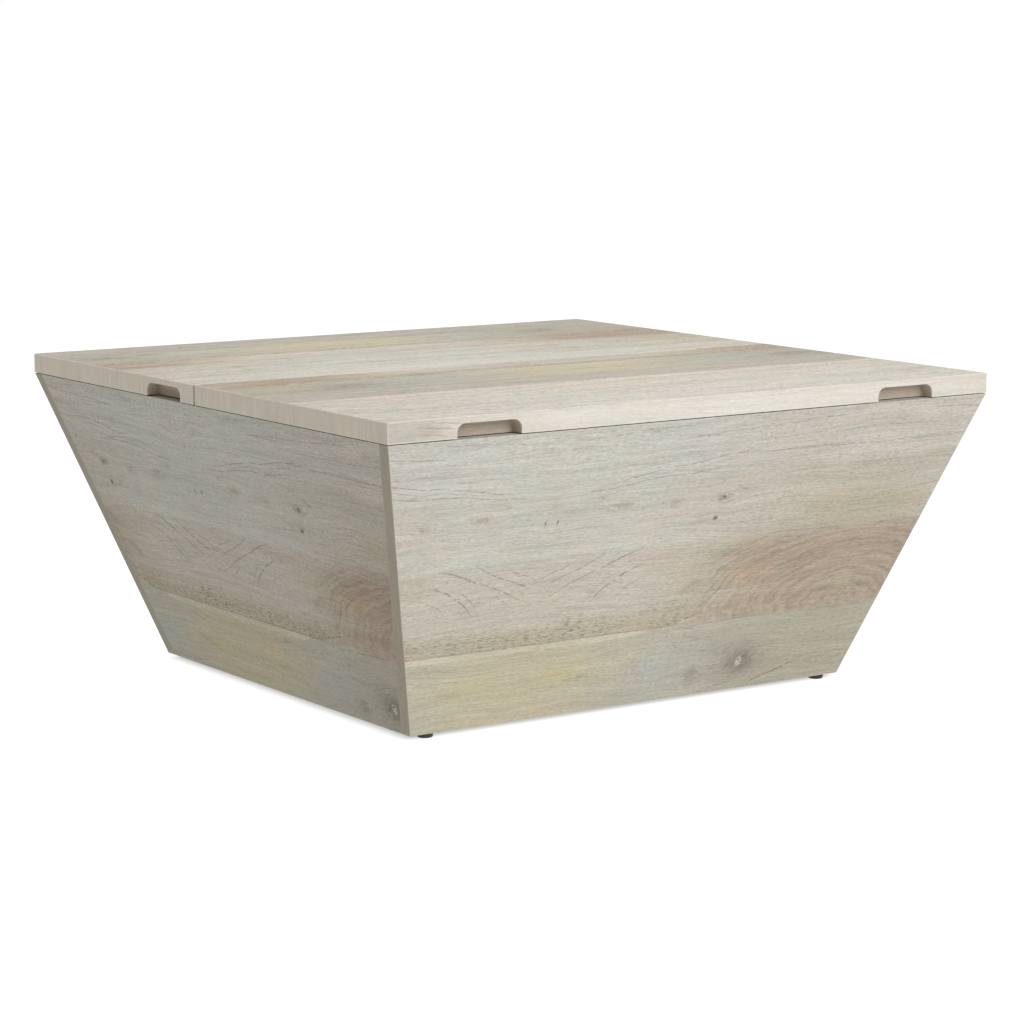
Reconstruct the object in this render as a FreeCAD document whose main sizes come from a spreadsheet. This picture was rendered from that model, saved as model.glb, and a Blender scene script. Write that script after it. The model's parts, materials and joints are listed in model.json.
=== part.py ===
import FreeCAD
import Part
import Sketcher
import math
import os

# Square lift-top coffee table: a tapered box of four leaning boards under two half lids.
# The rear lid flips up on three hinges. The front lid rises and comes forward on two pairs of
# parallel arms, so it stays level. Millimetres, degrees, origin on the floor under the middle,
# +X to the right, +Y to the back, +Z up. Left is -X and front is -Y.

doc = FreeCAD.newDocument("lift_top_coffee_table")

DRIVING = [
    ("top_side", 914.0, "side of the square top"),
    ("base_width", 671.0, "width of the body at its foot"),
    ("base_depth", 619.0, "depth of the body at its foot"),
    ("body_height", 380.1, "upright height of the four panels"),
    ("panel_thick", 18.0, "thickness of the four panels"),
    ("lid_thick", 25.5, "thickness of both lids"),
    ("lid_gap", 1.2, "shadow gap between the panels and the lids"),
    ("seam_gap", 1.5, "gap between the two lids"),
    ("lid_reveal", 0.8, "how far the lids stand past the panels"),
    ("edge_round", 1.5, "rounding of the lids' outer edges"),
    ("notch_width", 90.0, "length of a finger notch"),
    ("notch_height", 17.5, "height of a finger notch"),
    ("notch_depth", 18.0, "how far a finger notch is cut in"),
    ("notch_round", 11.0, "rounding of a notch's upper corners"),
    ("front_notch_x", 317.5, "front notches: from the middle to a notch's middle"),
    ("side_notch_y", 81.0, "side notches: from the middle to a notch's middle"),
    ("bottom_thick", 12.0, "thickness of the bottom panel"),
    ("bottom_rise", 18.0, "height of the bottom panel above the panels' foot"),
    ("groove_depth", 7.0, "depth of the groove that holds the bottom panel"),
    ("board_play", 0.4, "play of the bottom panel in its groove"),
    ("divider_thick", 18.0, "thickness of the centre divider"),
    ("cleat_height", 130.0, "height of a lift cleat"),
    ("cleat_cover", 2.0, "wood left behind a mechanism screw"),
    ("cleat_drop", 2.0, "how far a cleat ends below the rim"),
    ("dowel_dia", 8.0, "diameter of a corner dowel"),
    ("dowel_length", 28.0, "length of a corner dowel"),
    ("dowel_grip", 10.0, "part of a dowel in the front or rear panel"),
    ("dowel_play", 0.1, "radial play of dowels, nails and screws in wood"),
    ("dowel_low", 70.0, "height of the lowest dowel above the panels' foot"),
    ("dowel_pitch", 120.0, "distance from dowel to dowel"),
    ("glide_dia", 20.0, "diameter of a floor glide"),
    ("glide_height", 5.5, "height of a floor glide"),
    ("glide_ease", 1.5, "bevel of a glide's lower edge"),
    ("glide_inset", 27.5, "from a panel's lower end to a glide's middle"),
    ("nail_dia", 2.5, "diameter of a glide's nail"),
    ("nail_length", 15.0, "part of a nail in the panel"),
    ("nail_floor", 2.0, "plastic left under a nail"),
    ("bumper_dia", 7.0, "diameter of a lid bumper"),
    ("bumper_inset", 90.0, "bumpers on the front panel and divider: from the rim's end"),
    ("bumper_side", 160.0, "bumpers on the side panels: from the middle"),
    ("hinge_length", 64.0, "length of a hinge"),
    ("hinge_offset", 310.0, "outer hinges: from the middle"),
    ("leaf_width", 17.0, "part of a hinge leaf that lies on the wood"),
    ("leaf_thick", 1.5, "thickness of a hinge leaf"),
    ("barrel_dia", 6.0, "diameter of a hinge barrel"),
    ("hinge_pin_dia", 3.0, "diameter of a hinge pin"),
    ("knuckle_gap", 0.4, "play between knuckles, and round a barrel"),
    ("hinge_screw_pitch", 22.0, "distance between the screws of a leaf"),
    ("hinge_screw_in", 10.5, "hinge screws: from the lid's rear face"),
    ("hinge_screw_dia", 3.0, "shank of a hinge screw"),
    ("hinge_screw_head", 5.6, "head of a hinge screw"),
    ("hinge_screw_length", 12.0, "length of a hinge screw"),
    ("arm_length", 220.0, "lift arms: pivot to pivot"),
    ("arm_width", 30.0, "width of a lift arm"),
    ("arm_thick", 4.0, "thickness of a lift arm"),
    ("arm_rise", 30.0, "how far an arm climbs to the back when the lid is shut"),
    ("lift_angle", 112.0, "turn of the arms from shut to raised"),
    ("rail_clear", 10.0, "from the divider to the lid rails' rear ends"),
    ("pivot_drop", 22.0, "front upper pivot: below the lid"),
    ("pivot_step_back", 80.0, "from the front pivots back to the rear ones"),
    ("pivot_step_down", 40.0, "from the front pivots down to the rear ones"),
    ("pivot_dia", 8.0, "diameter of a pivot rivet"),
    ("pivot_head", 14.0, "diameter of a rivet's head"),
    ("head_thick", 2.0, "thickness of a rivet's head"),
    ("pivot_play", 0.05, "radial play of rivets and pins"),
    ("plate_thick", 3.0, "thickness of the lift bases and lid rails"),
    ("plate_margin", 14.0, "steel left round a pivot"),
    ("layer_gap", 0.6, "side gap between plate and arm"),
    ("rail_reach", 190.0, "part of a lid rail ahead of its front pivot"),
    ("rail_flange", 25.0, "width of a lid rail's flange"),
    ("stop_dia", 10.0, "diameter of a stop stud"),
    ("stop_reach", 30.0, "from the front pivot along the raised arm to the stop"),
    ("stop_play", 0.3, "gap between the raised arm and its stop"),
    ("screw_dia", 4.0, "shank of a mechanism screw"),
    ("screw_head", 7.6, "head of a mechanism screw"),
    ("screw_length", 15.0, "length of a mechanism screw"),
    ("gas_lever", 26.0, "from the rear base pivot to the gas spring's pin"),
    ("gas_length", 168.0, "gas spring when shut: pin to pin"),
    ("gas_slope", 10.0, "fall of a gas spring to the back"),
    ("gas_tube_dia", 16.0, "diameter of a gas spring's tube"),
    ("gas_tube_wall", 1.5, "wall of the tube"),
    ("gas_tube_length", 104.0, "length of the tube"),
    ("gas_guide", 10.0, "length of the rod guide in the tube's mouth"),
    ("gas_rod_dia", 6.0, "diameter of the rod"),
    ("gas_piston", 8.0, "length of the piston on the rod"),
    ("gas_gap", 2.0, "side gap between a lid rail and the tube"),
    ("gas_eye_dia", 14.0, "diameter of a gas spring's end eyes"),
    ("gas_eye_width", 10.0, "width of the end eyes"),
    ("gas_pin_dia", 7.0, "diameter of the pins through the eyes"),
    ("gas_clear", 0.3, "gap between the rod pin and the rear arm"),
]

# Places and sizes that follow from the driving dimensions.
FITTED = [
    ("half_lid", "dims.top_side / 2", "half the top"),
    ("half_rim", "half_lid - dims.lid_reveal", "half the body at its rim"),
    ("rim_z", "dims.glide_height + dims.body_height", "top of the panels"),
    ("lid_z", "rim_z + dims.lid_gap", "underside of the lids"),
    ("lean_x", "(half_rim - dims.base_width / 2) / dims.body_height", "run of the sides per height"),
    ("lean_y", "(half_rim - dims.base_depth / 2) / dims.body_height", "run of the front per height"),
    ("tilt_y", "atan(lean_y)", "angle of the front panel from upright"),
    ("wall_x", "dims.panel_thick * sqrt(1 + lean_x * lean_x)", "level thickness of the sides"),
    ("wall_y", "dims.panel_thick * sqrt(1 + lean_y * lean_y)", "level thickness of the front"),
    ("bottom_z", "dims.glide_height + dims.bottom_rise", "underside of the bottom panel"),
    ("floor_z", "bottom_z + dims.bottom_thick", "top of the bottom panel"),
    ("groove_mid", "dims.bottom_rise + dims.bottom_thick / 2", "groove's middle above the foot"),
    ("groove_x", "dims.base_width / 2 + lean_x * groove_mid - wall_x + dims.groove_depth", "side groove"),
    ("groove_y", "dims.base_depth / 2 + lean_y * groove_mid - wall_y + dims.groove_depth", "front groove"),
    ("inner_floor_x", "dims.base_width / 2 + lean_x * (floor_z - dims.glide_height) - wall_x", "inside"),
    ("inner_rim_x", "half_rim - wall_x", "inside of the sides at the rim"),
    ("inner_rim_y", "half_rim - wall_y", "inside of the front at the rim"),
    ("cleat_z", "rim_z - dims.cleat_height", "lower edge of a cleat"),
    ("cleat_top", "rim_z - dims.cleat_drop", "upper edge of a cleat"),
    ("cleat_wall", "inner_rim_x - lean_x * dims.cleat_height", "cleat's back at its lower edge"),
    ("cleat_crown", "inner_rim_x - lean_x * dims.cleat_drop", "cleat's back at its upper edge"),
    ("cleat_foot", "dims.screw_length - dims.plate_thick + dims.cleat_cover", "cleat's lower edge"),
    ("cleat_face", "cleat_wall - cleat_foot", "upright face of a cleat"),
    ("hinge_y", "half_lid + dims.barrel_dia / 2 + dims.knuckle_gap", "hinge axis"),
    ("hinge_z", "rim_z + dims.lid_gap / 2", "hinge axis"),
    ("arm_x", "cleat_face - dims.plate_thick - dims.layer_gap", "outer face of the arms"),
    ("arm_in_x", "arm_x - dims.arm_thick", "inner face of the arms"),
    ("web_x", "arm_in_x - dims.layer_gap", "outer face of the lid rails"),
    ("web_in_x", "web_x - dims.plate_thick", "inner face of the lid rails"),
    ("arm_run", "sqrt(dims.arm_length * dims.arm_length - dims.arm_rise * dims.arm_rise)", "arm, level"),
    ("arm_tilt", "asin(dims.arm_rise / dims.arm_length)", "arm's angle when shut"),
    ("rail_end", "-dims.divider_thick / 2 - dims.rail_clear", "rear end of the lid rails"),
    ("rear_up_y", "rail_end - dims.plate_margin", "rear upper pivot"),
    ("front_up_y", "rear_up_y - dims.pivot_step_back", "front upper pivot"),
    ("front_up_z", "lid_z - dims.pivot_drop", "front upper pivot"),
    ("rear_up_z", "front_up_z - dims.pivot_step_down", "rear upper pivot"),
    ("front_y", "front_up_y - arm_run", "front base pivot"),
    ("front_z", "front_up_z - dims.arm_rise", "front base pivot"),
    ("rear_y", "rear_up_y - arm_run", "rear base pivot"),
    ("rear_z", "rear_up_z - dims.arm_rise", "rear base pivot"),
    ("open_tilt", "180deg - arm_tilt - dims.lift_angle * 1deg", "raised arm's angle from level"),
    ("stop_side", "(dims.arm_width + dims.stop_dia) / 2 + dims.stop_play", "stop beside the arm"),
    ("stop_y", "front_y - dims.stop_reach * cos(open_tilt) - stop_side * sin(open_tilt)", "stop stud"),
    ("stop_z", "front_z + dims.stop_reach * sin(open_tilt) - stop_side * cos(open_tilt)", "stop stud"),
    ("gas_stroke", "2 * dims.gas_lever * sin(dims.lift_angle / 2)", "travel of the rod"),
    ("gas_turn", "90 - dims.lift_angle / 2 - dims.gas_slope", "angle of the lever when shut"),
    ("gas_pin_y", "rear_y + dims.gas_lever * cos(gas_turn)", "rod pin when shut"),
    ("gas_pin_z", "rear_z + dims.gas_lever * sin(gas_turn)", "rod pin when shut"),
    ("gas_anchor_y", "gas_pin_y + dims.gas_length * cos(dims.gas_slope)", "anchor pin"),
    ("gas_anchor_z", "gas_pin_z - dims.gas_length * sin(dims.gas_slope)", "anchor pin"),
    ("gas_x", "web_in_x - dims.gas_gap - dims.gas_tube_dia / 2", "gas spring's line"),
    ("gas_bore", "dims.gas_tube_dia / 2 - dims.gas_tube_wall", "inside of the tube"),
]

# Lengths and volumes that differ by less than this count as equal.
TINY = 1e-6


def fill_sheet(name, rows, formulas):
    """Adds a spreadsheet with one named cell per row."""
    sheet = doc.addObject("Spreadsheet::Sheet", name)
    for row, (alias, content, note) in enumerate(rows, start=1):
        sheet.set(f"A{row}", alias)
        sheet.set(f"B{row}", f"={content}" if formulas else str(content))
        sheet.setAlias(f"B{row}", alias)
        sheet.set(f"C{row}", note)
    doc.recompute()
    return sheet


dims = fill_sheet("dims", DRIVING, False)
fit = fill_sheet("fit", FITTED, True)


def number(expression):
    """The value that an expression has now."""
    result = fit.evalExpression(expression)
    return float(getattr(result, "Value", result))


def bind(target, **expressions):
    """Ties properties to expressions; two underscores in a name stand for a dot."""
    for path, expression in expressions.items():
        target.setExpression(path.replace("__", "."), expression)


def place(target, x="0", y="0", z="0", axis=None, angle=None):
    """Ties a Placement to expressions, with an optional turn about one axis."""
    if axis is not None:
        turn = FreeCAD.Rotation(FreeCAD.Vector(*axis), number(angle))
        target.Placement = FreeCAD.Placement(FreeCAD.Vector(), turn)
        bind(target, Placement__Rotation__Angle=angle)
    bind(target, Placement__Base__x=x, Placement__Base__y=y, Placement__Base__z=z)


def new_body(name):
    """An empty body."""
    return doc.addObject("PartDesign::Body", name)


def new_sketch(body, name, plane, offset=None):
    """An empty sketch on one of the body's origin planes, shifted along the plane's normal."""
    sketch = body.newObject("Sketcher::SketchObject", name)
    support = [item for item in body.Origin.OriginFeatures if item.Role == plane]
    sketch.AttachmentSupport = (support[0], "")
    sketch.MapMode = "FlatFace"
    if offset is not None:
        bind(sketch, AttachmentOffset__Base__z=offset)
    return sketch


def pin_point(sketch, geometry, point, across, up):
    """Holds a sketch point at two expressions measured from the sketch's origin."""
    for kind, expression in (("DistanceX", across), ("DistanceY", up)):
        rule = Sketcher.Constraint(kind, -1, 1, geometry, point, number(expression))
        index = sketch.addConstraint(rule)
        sketch.setExpression(f"Constraints[{index}]", expression)


def add_loop(sketch, corners):
    """Adds a closed polygon whose corners are pairs of expressions."""
    points = [FreeCAD.Vector(number(across), number(up), 0) for across, up in corners]
    count = len(points)
    lines = []
    for index in range(count):
        segment = Part.LineSegment(points[index], points[(index + 1) % count])
        lines.append(sketch.addGeometry(segment))
    for index in range(count):
        follower = lines[(index + 1) % count]
        sketch.addConstraint(Sketcher.Constraint("Coincident", lines[index], 2, follower, 1))
    for line, (across, up) in zip(lines, corners):
        pin_point(sketch, line, 1, across, up)


def add_circle(sketch, across, up, radius):
    """Adds a circle at expressions for its centre and radius."""
    centre = FreeCAD.Vector(number(across), number(up), 0)
    circle = sketch.addGeometry(Part.Circle(centre, FreeCAD.Vector(0, 0, 1), number(radius)))
    pin_point(sketch, circle, 3, across, up)
    index = sketch.addConstraint(Sketcher.Constraint("Radius", circle, number(radius)))
    sketch.setExpression(f"Constraints[{index}]", radius)


def rectangle(left, low, right, high):
    """The four corners of a rectangle, as pairs of expressions."""
    return [(left, low), (right, low), (right, high), (left, high)]


def pad(body, sketch, length, symmetric=False):
    """Gives a sketch a thickness, to one side or half to each side."""
    feature = body.newObject("PartDesign::Pad", sketch.Name + "_pad")
    feature.Profile = sketch
    feature.SideType = "Symmetric" if symmetric else "One side"
    bind(feature, Length=length)
    doc.recompute()
    return feature


def pocket(body, sketch, length=None, symmetric=False, reverse=False):
    """Cuts a sketch into the body, right through when no length is given."""
    before = body.Shape.Volume
    feature = body.newObject("PartDesign::Pocket", sketch.Name + "_cut")
    feature.Profile = sketch
    feature.SideType = "Symmetric" if symmetric or length is None else "One side"
    feature.Reversed = reverse
    if length is None:
        feature.Type = "ThroughAll"
    else:
        bind(feature, Length=length)
    doc.recompute()
    if body.Shape.Volume >= before - TINY:
        raise RuntimeError(f"{feature.Name} cuts nothing")
    return feature


def turn(body, sketch, axis):
    """Revolves a half profile about the sketch's H_Axis or V_Axis."""
    feature = body.newObject("PartDesign::Revolution", sketch.Name + "_turned")
    feature.Profile = sketch
    feature.ReferenceAxis = (sketch, [axis])
    feature.Angle = 360
    doc.recompute()
    return feature


def turned_body(name, plane, axis, corners):
    """A body turned from one closed half profile."""
    body = new_body(name)
    sketch = new_sketch(body, name + "_profile", plane)
    add_loop(sketch, corners)
    turn(body, sketch, axis)
    return body


def round_edges(body, radius, chosen):
    """Fillets the edges of the body's last feature that pass a test."""
    base = body.Tip
    names = [f"Edge{k}" for k, edge in enumerate(base.Shape.Edges, start=1) if chosen(edge)]
    feature = body.newObject("PartDesign::Fillet", base.Name + "_round")
    feature.Base = (base, names)
    bind(feature, Radius=radius)
    doc.recompute()
    return feature


def edge_spread(edge):
    """Lengths of an edge's box along X, Y and Z."""
    box = edge.BoundBox
    return box.XLength, box.YLength, box.ZLength


def compound(name, members):
    """Several solids as one group."""
    group = doc.addObject("Part::Compound", name)
    group.Links = members
    doc.recompute()
    return group


def mirrored(name, source, normal):
    """The mirror image in a plane through the origin with this normal."""
    copy = doc.addObject("Part::Mirroring", name)
    copy.Source = source
    copy.Normal = FreeCAD.Vector(*normal)
    doc.recompute()
    return copy


def linked(name, source, **placing):
    """Another copy of a body at its own place."""
    link = doc.addObject("App::Link", name)
    link.LinkedObject = source
    place(link, **placing)
    return link


def cut_by(name, base, tools):
    """The base less the tools."""
    result = doc.addObject("Part::Cut", name)
    result.Base = base
    result.Tool = tools[0] if len(tools) == 1 else compound(name + "_tools", tools)
    doc.recompute()
    return result


SUB_PARTS = {}


def finish(label, target):
    """Registers a sub-part under the name of its file."""
    target.Label = label
    SUB_PARTS[label] = target
    return target


ACROSS = (1, 0, 0)
BACK = (0, 1, 0)
UPRIGHT = (0, 0, 1)
SPARE = "dims.panel_thick"

# Fasteners: each is a turned body, with a slightly larger one that clears its hole.


def screw_pair(name, dia, head, length):
    """A countersunk screw pointing down from its head's top, and the room that it needs."""
    screw = turned_body(name, "XZ_Plane", "V_Axis", [
        ("0", "0"),
        (f"{head} / 2", "0"),
        (f"{dia} / 2", f"({dia} - {head}) / 2"),
        (f"{dia} / 2", f"{dia} - {length}"),
        ("0", f"-{length}"),
    ])
    play = "dims.dowel_play"
    room = turned_body(name + "_room", "XZ_Plane", "V_Axis", [
        ("0", f"{head}"),
        (f"{head} / 2 + {play}", f"{head}"),
        (f"{head} / 2 + {play}", "0"),
        (f"{dia} / 2 + {play}", f"({dia} - {head}) / 2"),
        (f"{dia} / 2 + {play}", f"-{length} - {play}"),
        ("0", f"-{length} - {play}"),
    ])
    return screw, room


lift_screw, lift_screw_room = screw_pair(
    "lift_screw", "dims.screw_dia", "dims.screw_head", "dims.screw_length")
hinge_screw, hinge_screw_room = screw_pair(
    "hinge_screw", "dims.hinge_screw_dia", "dims.hinge_screw_head", "dims.hinge_screw_length")

# Corner dowels stand square to the front panel's inner face, in the middle of the side panel's end.


def corner_dowels(name, radius, extra):
    """Three dowels, or their holes, in the front left corner."""
    rods = []
    for step in range(3):
        height = f"(dims.dowel_low + {step} * dims.dowel_pitch)"
        rod = doc.addObject("Part::Cylinder", f"{name}_{step}")
        bind(rod, Radius=radius, Height=f"dims.dowel_length + 2 * {extra}")
        inset = f"(dims.dowel_grip + {extra})"
        place(
            rod,
            x=f"-dims.base_width / 2 - fit.lean_x * {height} + fit.wall_x / 2",
            y=f"-dims.base_depth / 2 - fit.lean_y * {height} + fit.wall_y - {inset} * cos(fit.tilt_y)",
            z=f"dims.glide_height + {height} - {inset} * sin(fit.tilt_y)",
            axis=ACROSS,
            angle="fit.tilt_y - 90deg",
        )
        rods.append(rod)
    return compound(name, rods)


dowels = {"front_left": corner_dowels("dowels_front_left", "dims.dowel_dia / 2", "0")}
dowel_rooms = {
    "front_left": corner_dowels(
        "dowel_rooms_front_left", "dims.dowel_dia / 2 + dims.dowel_play", "dims.dowel_play"),
}
for stock, kind in ((dowels, "dowels"), (dowel_rooms, "dowel_rooms")):
    stock["front_right"] = mirrored(kind + "_front_right", stock["front_left"], ACROSS)
    stock["rear_left"] = mirrored(kind + "_rear_left", stock["front_left"], BACK)
    stock["rear_right"] = mirrored(kind + "_rear_right", stock["rear_left"], ACROSS)
finish("corner_dowels", compound("dowel_set", list(dowels.values())))

# Floor glides under the ends of the front and rear panels, each on a nail.

GLIDE_X = "(dims.base_width / 2 - dims.glide_inset)"
GLIDE_Y = "(dims.base_depth / 2 - fit.wall_y / 2)"
NAIL_TOP = "(dims.glide_height + dims.nail_length)"

nail = turned_body("glide_nail", "XZ_Plane", "V_Axis", [
    ("0", "dims.nail_floor"),
    ("dims.nail_dia / 2", "dims.nail_floor"),
    ("dims.nail_dia / 2", f"{NAIL_TOP} - dims.nail_dia"),
    ("0", NAIL_TOP),
])
nail_room = doc.addObject("Part::Cylinder", "nail_room")
bind(nail_room, Radius="dims.nail_dia / 2 + dims.dowel_play",
     Height=f"{NAIL_TOP} + dims.dowel_play - dims.nail_floor")
place(nail_room, z="dims.nail_floor")
nails = []
nail_rooms = {"front": [], "rear": []}
for end, back in (("front", -1), ("rear", 1)):
    for side, right in (("left", -1), ("right", 1)):
        spot = {"x": f"{right} * {GLIDE_X}", "y": f"{back} * {GLIDE_Y}"}
        bore = "dims.nail_dia / 2 + dims.dowel_play"
        glide = turned_body(f"glide_{end}_{side}", "XZ_Plane", "V_Axis", [
            ("0", "0"),
            ("dims.glide_dia / 2 - dims.glide_ease", "0"),
            ("dims.glide_dia / 2", "dims.glide_ease"),
            ("dims.glide_dia / 2", "dims.glide_height"),
            (bore, "dims.glide_height"),
            (bore, "dims.nail_floor"),
            ("0", "dims.nail_floor"),
        ])
        place(glide, **spot)
        finish(f"glide_{end}_{side}", glide)
        nails.append(linked(f"nail_{end}_{side}", nail, **spot))
        nail_rooms[end].append(linked(f"nail_room_{end}_{side}", nail_room, z="dims.nail_floor", **spot))
finish("glide_nails", compound("nail_set", nails))

# Hinge places along the rear edge, shared by the leaves, their screws and their recesses.

HINGES = (("left", "-dims.hinge_offset"), ("middle", "0"), ("right", "dims.hinge_offset"))
SCREW_Y = "fit.half_lid - dims.hinge_screw_in"


def leaf_recess(body, name, offset, reverse):
    """Cuts the three hinge recesses into a board, from a level face at the given height."""
    sketch = new_sketch(body, name, "XY_Plane", offset)
    half = "(dims.hinge_length / 2 + dims.board_play)"
    inner = "fit.half_lid - dims.leaf_width - dims.board_play"
    for _, middle in HINGES:
        add_loop(sketch, rectangle(f"{middle} - {half}", inner, f"{middle} + {half}",
                                   f"fit.half_lid + {SPARE}"))
    pocket(body, sketch, "dims.leaf_thick", reverse=reverse)


def hinge_screw_set(name, source, height, pointing_up):
    """Two screws in each of the three leaves, or the rooms for them."""
    turned = {"axis": ACROSS, "angle": "180deg"} if pointing_up else {}
    copies = []
    for side, middle in HINGES:
        for sign in (-1, 1):
            x = f"{middle} + {sign} * dims.hinge_screw_pitch / 2"
            label = f"{name}_{side}_{'right' if sign > 0 else 'left'}"
            copies.append(linked(label, source, x=x, y=SCREW_Y, z=height, **turned))
    return compound(name, copies)


body_screws = hinge_screw_set("hinge_body_screw_set", hinge_screw, "fit.rim_z", False)
body_screw_rooms = hinge_screw_set("hinge_body_rooms", hinge_screw_room, "fit.rim_z", False)
lid_screws = hinge_screw_set("hinge_lid_screw_set", hinge_screw, "fit.lid_z", True)
lid_screw_rooms = hinge_screw_set("hinge_lid_rooms", hinge_screw_room, "fit.lid_z", True)
finish("hinge_body_screws", body_screws)
finish("hinge_lid_screws", lid_screws)

# The four leaning panels. The front and rear panels run the full width and cover the side panels' ends.


def end_panel(label, back):
    """The front (back = -1) or rear (back = 1) panel before its holes."""
    body = new_body(label + "_board")
    section = new_sketch(body, label + "_section", "YZ_Plane")
    add_loop(section, [
        (f"{back} * dims.base_depth / 2", "dims.glide_height"),
        (f"{back} * fit.half_rim", "fit.rim_z"),
        (f"{back} * fit.inner_rim_y", "fit.rim_z"),
        (f"{back} * (dims.base_depth / 2 - fit.wall_y)", "dims.glide_height"),
    ])
    pad(body, section, "dims.top_side", symmetric=True)
    ends = new_sketch(body, label + "_ends", "XZ_Plane")
    for right in (-1, 1):
        add_loop(ends, [
            (f"{right} * (dims.base_width / 2 - fit.lean_x * {SPARE})", f"dims.glide_height - {SPARE}"),
            (f"{right} * (fit.half_rim + fit.lean_x * {SPARE})", f"fit.rim_z + {SPARE}"),
            (f"{right} * (fit.half_lid + {SPARE})", f"fit.rim_z + {SPARE}"),
            (f"{right} * (fit.half_lid + {SPARE})", f"dims.glide_height - {SPARE}"),
        ])
    pocket(body, ends)
    groove = new_sketch(body, label + "_groove", "YZ_Plane")
    add_loop(groove, rectangle(
        f"{back} * fit.groove_y", "fit.bottom_z",
        f"{back} * (fit.groove_y - dims.groove_depth - {SPARE})", "fit.floor_z + dims.board_play"))
    pocket(body, groove, "2 * fit.groove_x", symmetric=True)
    return body


def side_panel(label):
    """The left panel before its holes, trimmed against the front and rear panels' inner faces."""
    body = new_body(label + "_board")
    section = new_sketch(body, label + "_section", "XZ_Plane")
    add_loop(section, [
        ("-dims.base_width / 2", "dims.glide_height"),
        ("-fit.half_rim", "fit.rim_z"),
        ("-fit.inner_rim_x", "fit.rim_z"),
        ("fit.wall_x - dims.base_width / 2", "dims.glide_height"),
    ])
    pad(body, section, "dims.top_side", symmetric=True)
    ends = new_sketch(body, label + "_ends", "YZ_Plane")
    for back in (-1, 1):
        foot = f"dims.base_depth / 2 - fit.wall_y - fit.lean_y * {SPARE}"
        add_loop(ends, [
            (f"{back} * ({foot})", f"dims.glide_height - {SPARE}"),
            (f"{back} * (fit.inner_rim_y + fit.lean_y * {SPARE})", f"fit.rim_z + {SPARE}"),
            (f"{back} * (fit.half_lid + {SPARE})", f"fit.rim_z + {SPARE}"),
            (f"{back} * (fit.half_lid + {SPARE})", f"dims.glide_height - {SPARE}"),
        ])
    pocket(body, ends)
    groove = new_sketch(body, label + "_groove", "XZ_Plane")
    add_loop(groove, rectangle(
        "-fit.groove_x", "fit.bottom_z",
        f"dims.groove_depth + {SPARE} - fit.groove_x", "fit.floor_z + dims.board_play"))
    pocket(body, groove)
    return body


front_board = end_panel("front_panel", -1)
rear_board = end_panel("rear_panel", 1)
leaf_recess(rear_board, "rear_panel_recesses", "fit.rim_z", False)
left_board = side_panel("left_panel")
front_rooms = [dowel_rooms["front_left"], dowel_rooms["front_right"]] + nail_rooms["front"]
rear_rooms = [dowel_rooms["rear_left"], dowel_rooms["rear_right"]] + nail_rooms["rear"]
finish("front_panel", cut_by("front_panel", front_board, front_rooms))
finish("rear_panel", cut_by("rear_panel", rear_board, rear_rooms + [body_screw_rooms]))
left_panel = cut_by("left_panel", left_board, [dowel_rooms["front_left"], dowel_rooms["rear_left"]])
finish("left_panel", left_panel)
finish("right_panel", mirrored("right_panel", left_panel, ACROSS))

bottom = doc.addObject("Part::Box", "bottom_panel")
bind(bottom, Length="2 * (fit.groove_x - dims.board_play)",
     Width="2 * (fit.groove_y - dims.board_play)", Height="dims.bottom_thick")
place(bottom, x="dims.board_play - fit.groove_x", y="dims.board_play - fit.groove_y", z="fit.bottom_z")
finish("bottom_panel", bottom)

divider = new_body("centre_divider")
divider_face = new_sketch(divider, "centre_divider_face", "XZ_Plane")
add_loop(divider_face, [
    ("-fit.inner_floor_x", "fit.floor_z"),
    ("fit.inner_floor_x", "fit.floor_z"),
    ("fit.inner_rim_x", "fit.rim_z"),
    ("-fit.inner_rim_x", "fit.rim_z"),
])
pad(divider, divider_face, "dims.divider_thick", symmetric=True)
finish("centre_divider", divider)

# Bumpers on the front panel, the side panels and both edges of the divider.

BUMPER_END = "(fit.half_rim - dims.bumper_inset)"
BUMPER_SPOTS = [
    (BUMPER_END, "fit.wall_y / 2 - fit.half_rim"),
    (BUMPER_END, "-dims.divider_thick / 4 - dims.seam_gap / 4"),
    (BUMPER_END, "dims.divider_thick / 4 + dims.seam_gap / 4"),
    ("fit.half_rim - fit.wall_x / 2", "-dims.bumper_side"),
    ("fit.half_rim - fit.wall_x / 2", "dims.bumper_side"),
]
bumpers = []
for right in (-1, 1):
    for spot_x, spot_y in BUMPER_SPOTS:
        bumper = doc.addObject("Part::Cone", "bumper")
        bind(bumper, Radius1="dims.bumper_dia / 2", Radius2="dims.bumper_dia / 2 - dims.lid_gap / 2",
             Height="dims.lid_gap")
        place(bumper, x=f"{right} * ({spot_x})", y=spot_y, z="fit.rim_z")
        bumpers.append(bumper)
finish("lid_bumpers", compound("bumper_set", bumpers))

# The two lids.


def lid_board(label, back):
    """A half lid with eased outer edges, before its notches and holes."""
    body = new_body(label + "_board")
    plan = new_sketch(body, label + "_plan", "XY_Plane", "fit.lid_z")
    add_loop(plan, rectangle("-fit.half_lid", f"{back} * dims.seam_gap / 2",
                             "fit.half_lid", f"{back} * fit.half_lid"))
    pad(body, plan, "dims.lid_thick")
    top = number("fit.lid_z + dims.lid_thick")
    upright = number("dims.lid_thick")
    round_edges(body, "dims.edge_round", lambda edge: edge.BoundBox.ZMin > top - TINY
                or abs(edge_spread(edge)[2] - upright) < TINY)
    return body


def round_notches(body, along):
    """Rounds the upper corners of the notches, whose edges run along X (0) or Y (1)."""
    depth = number("dims.notch_depth")
    height = number("fit.lid_z + dims.notch_height")
    round_edges(body, "dims.notch_round", lambda edge: abs(edge_spread(edge)[along] - depth) < TINY
                and abs(edge.BoundBox.ZMin - height) < TINY and edge_spread(edge)[1 - along] < TINY)


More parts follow.
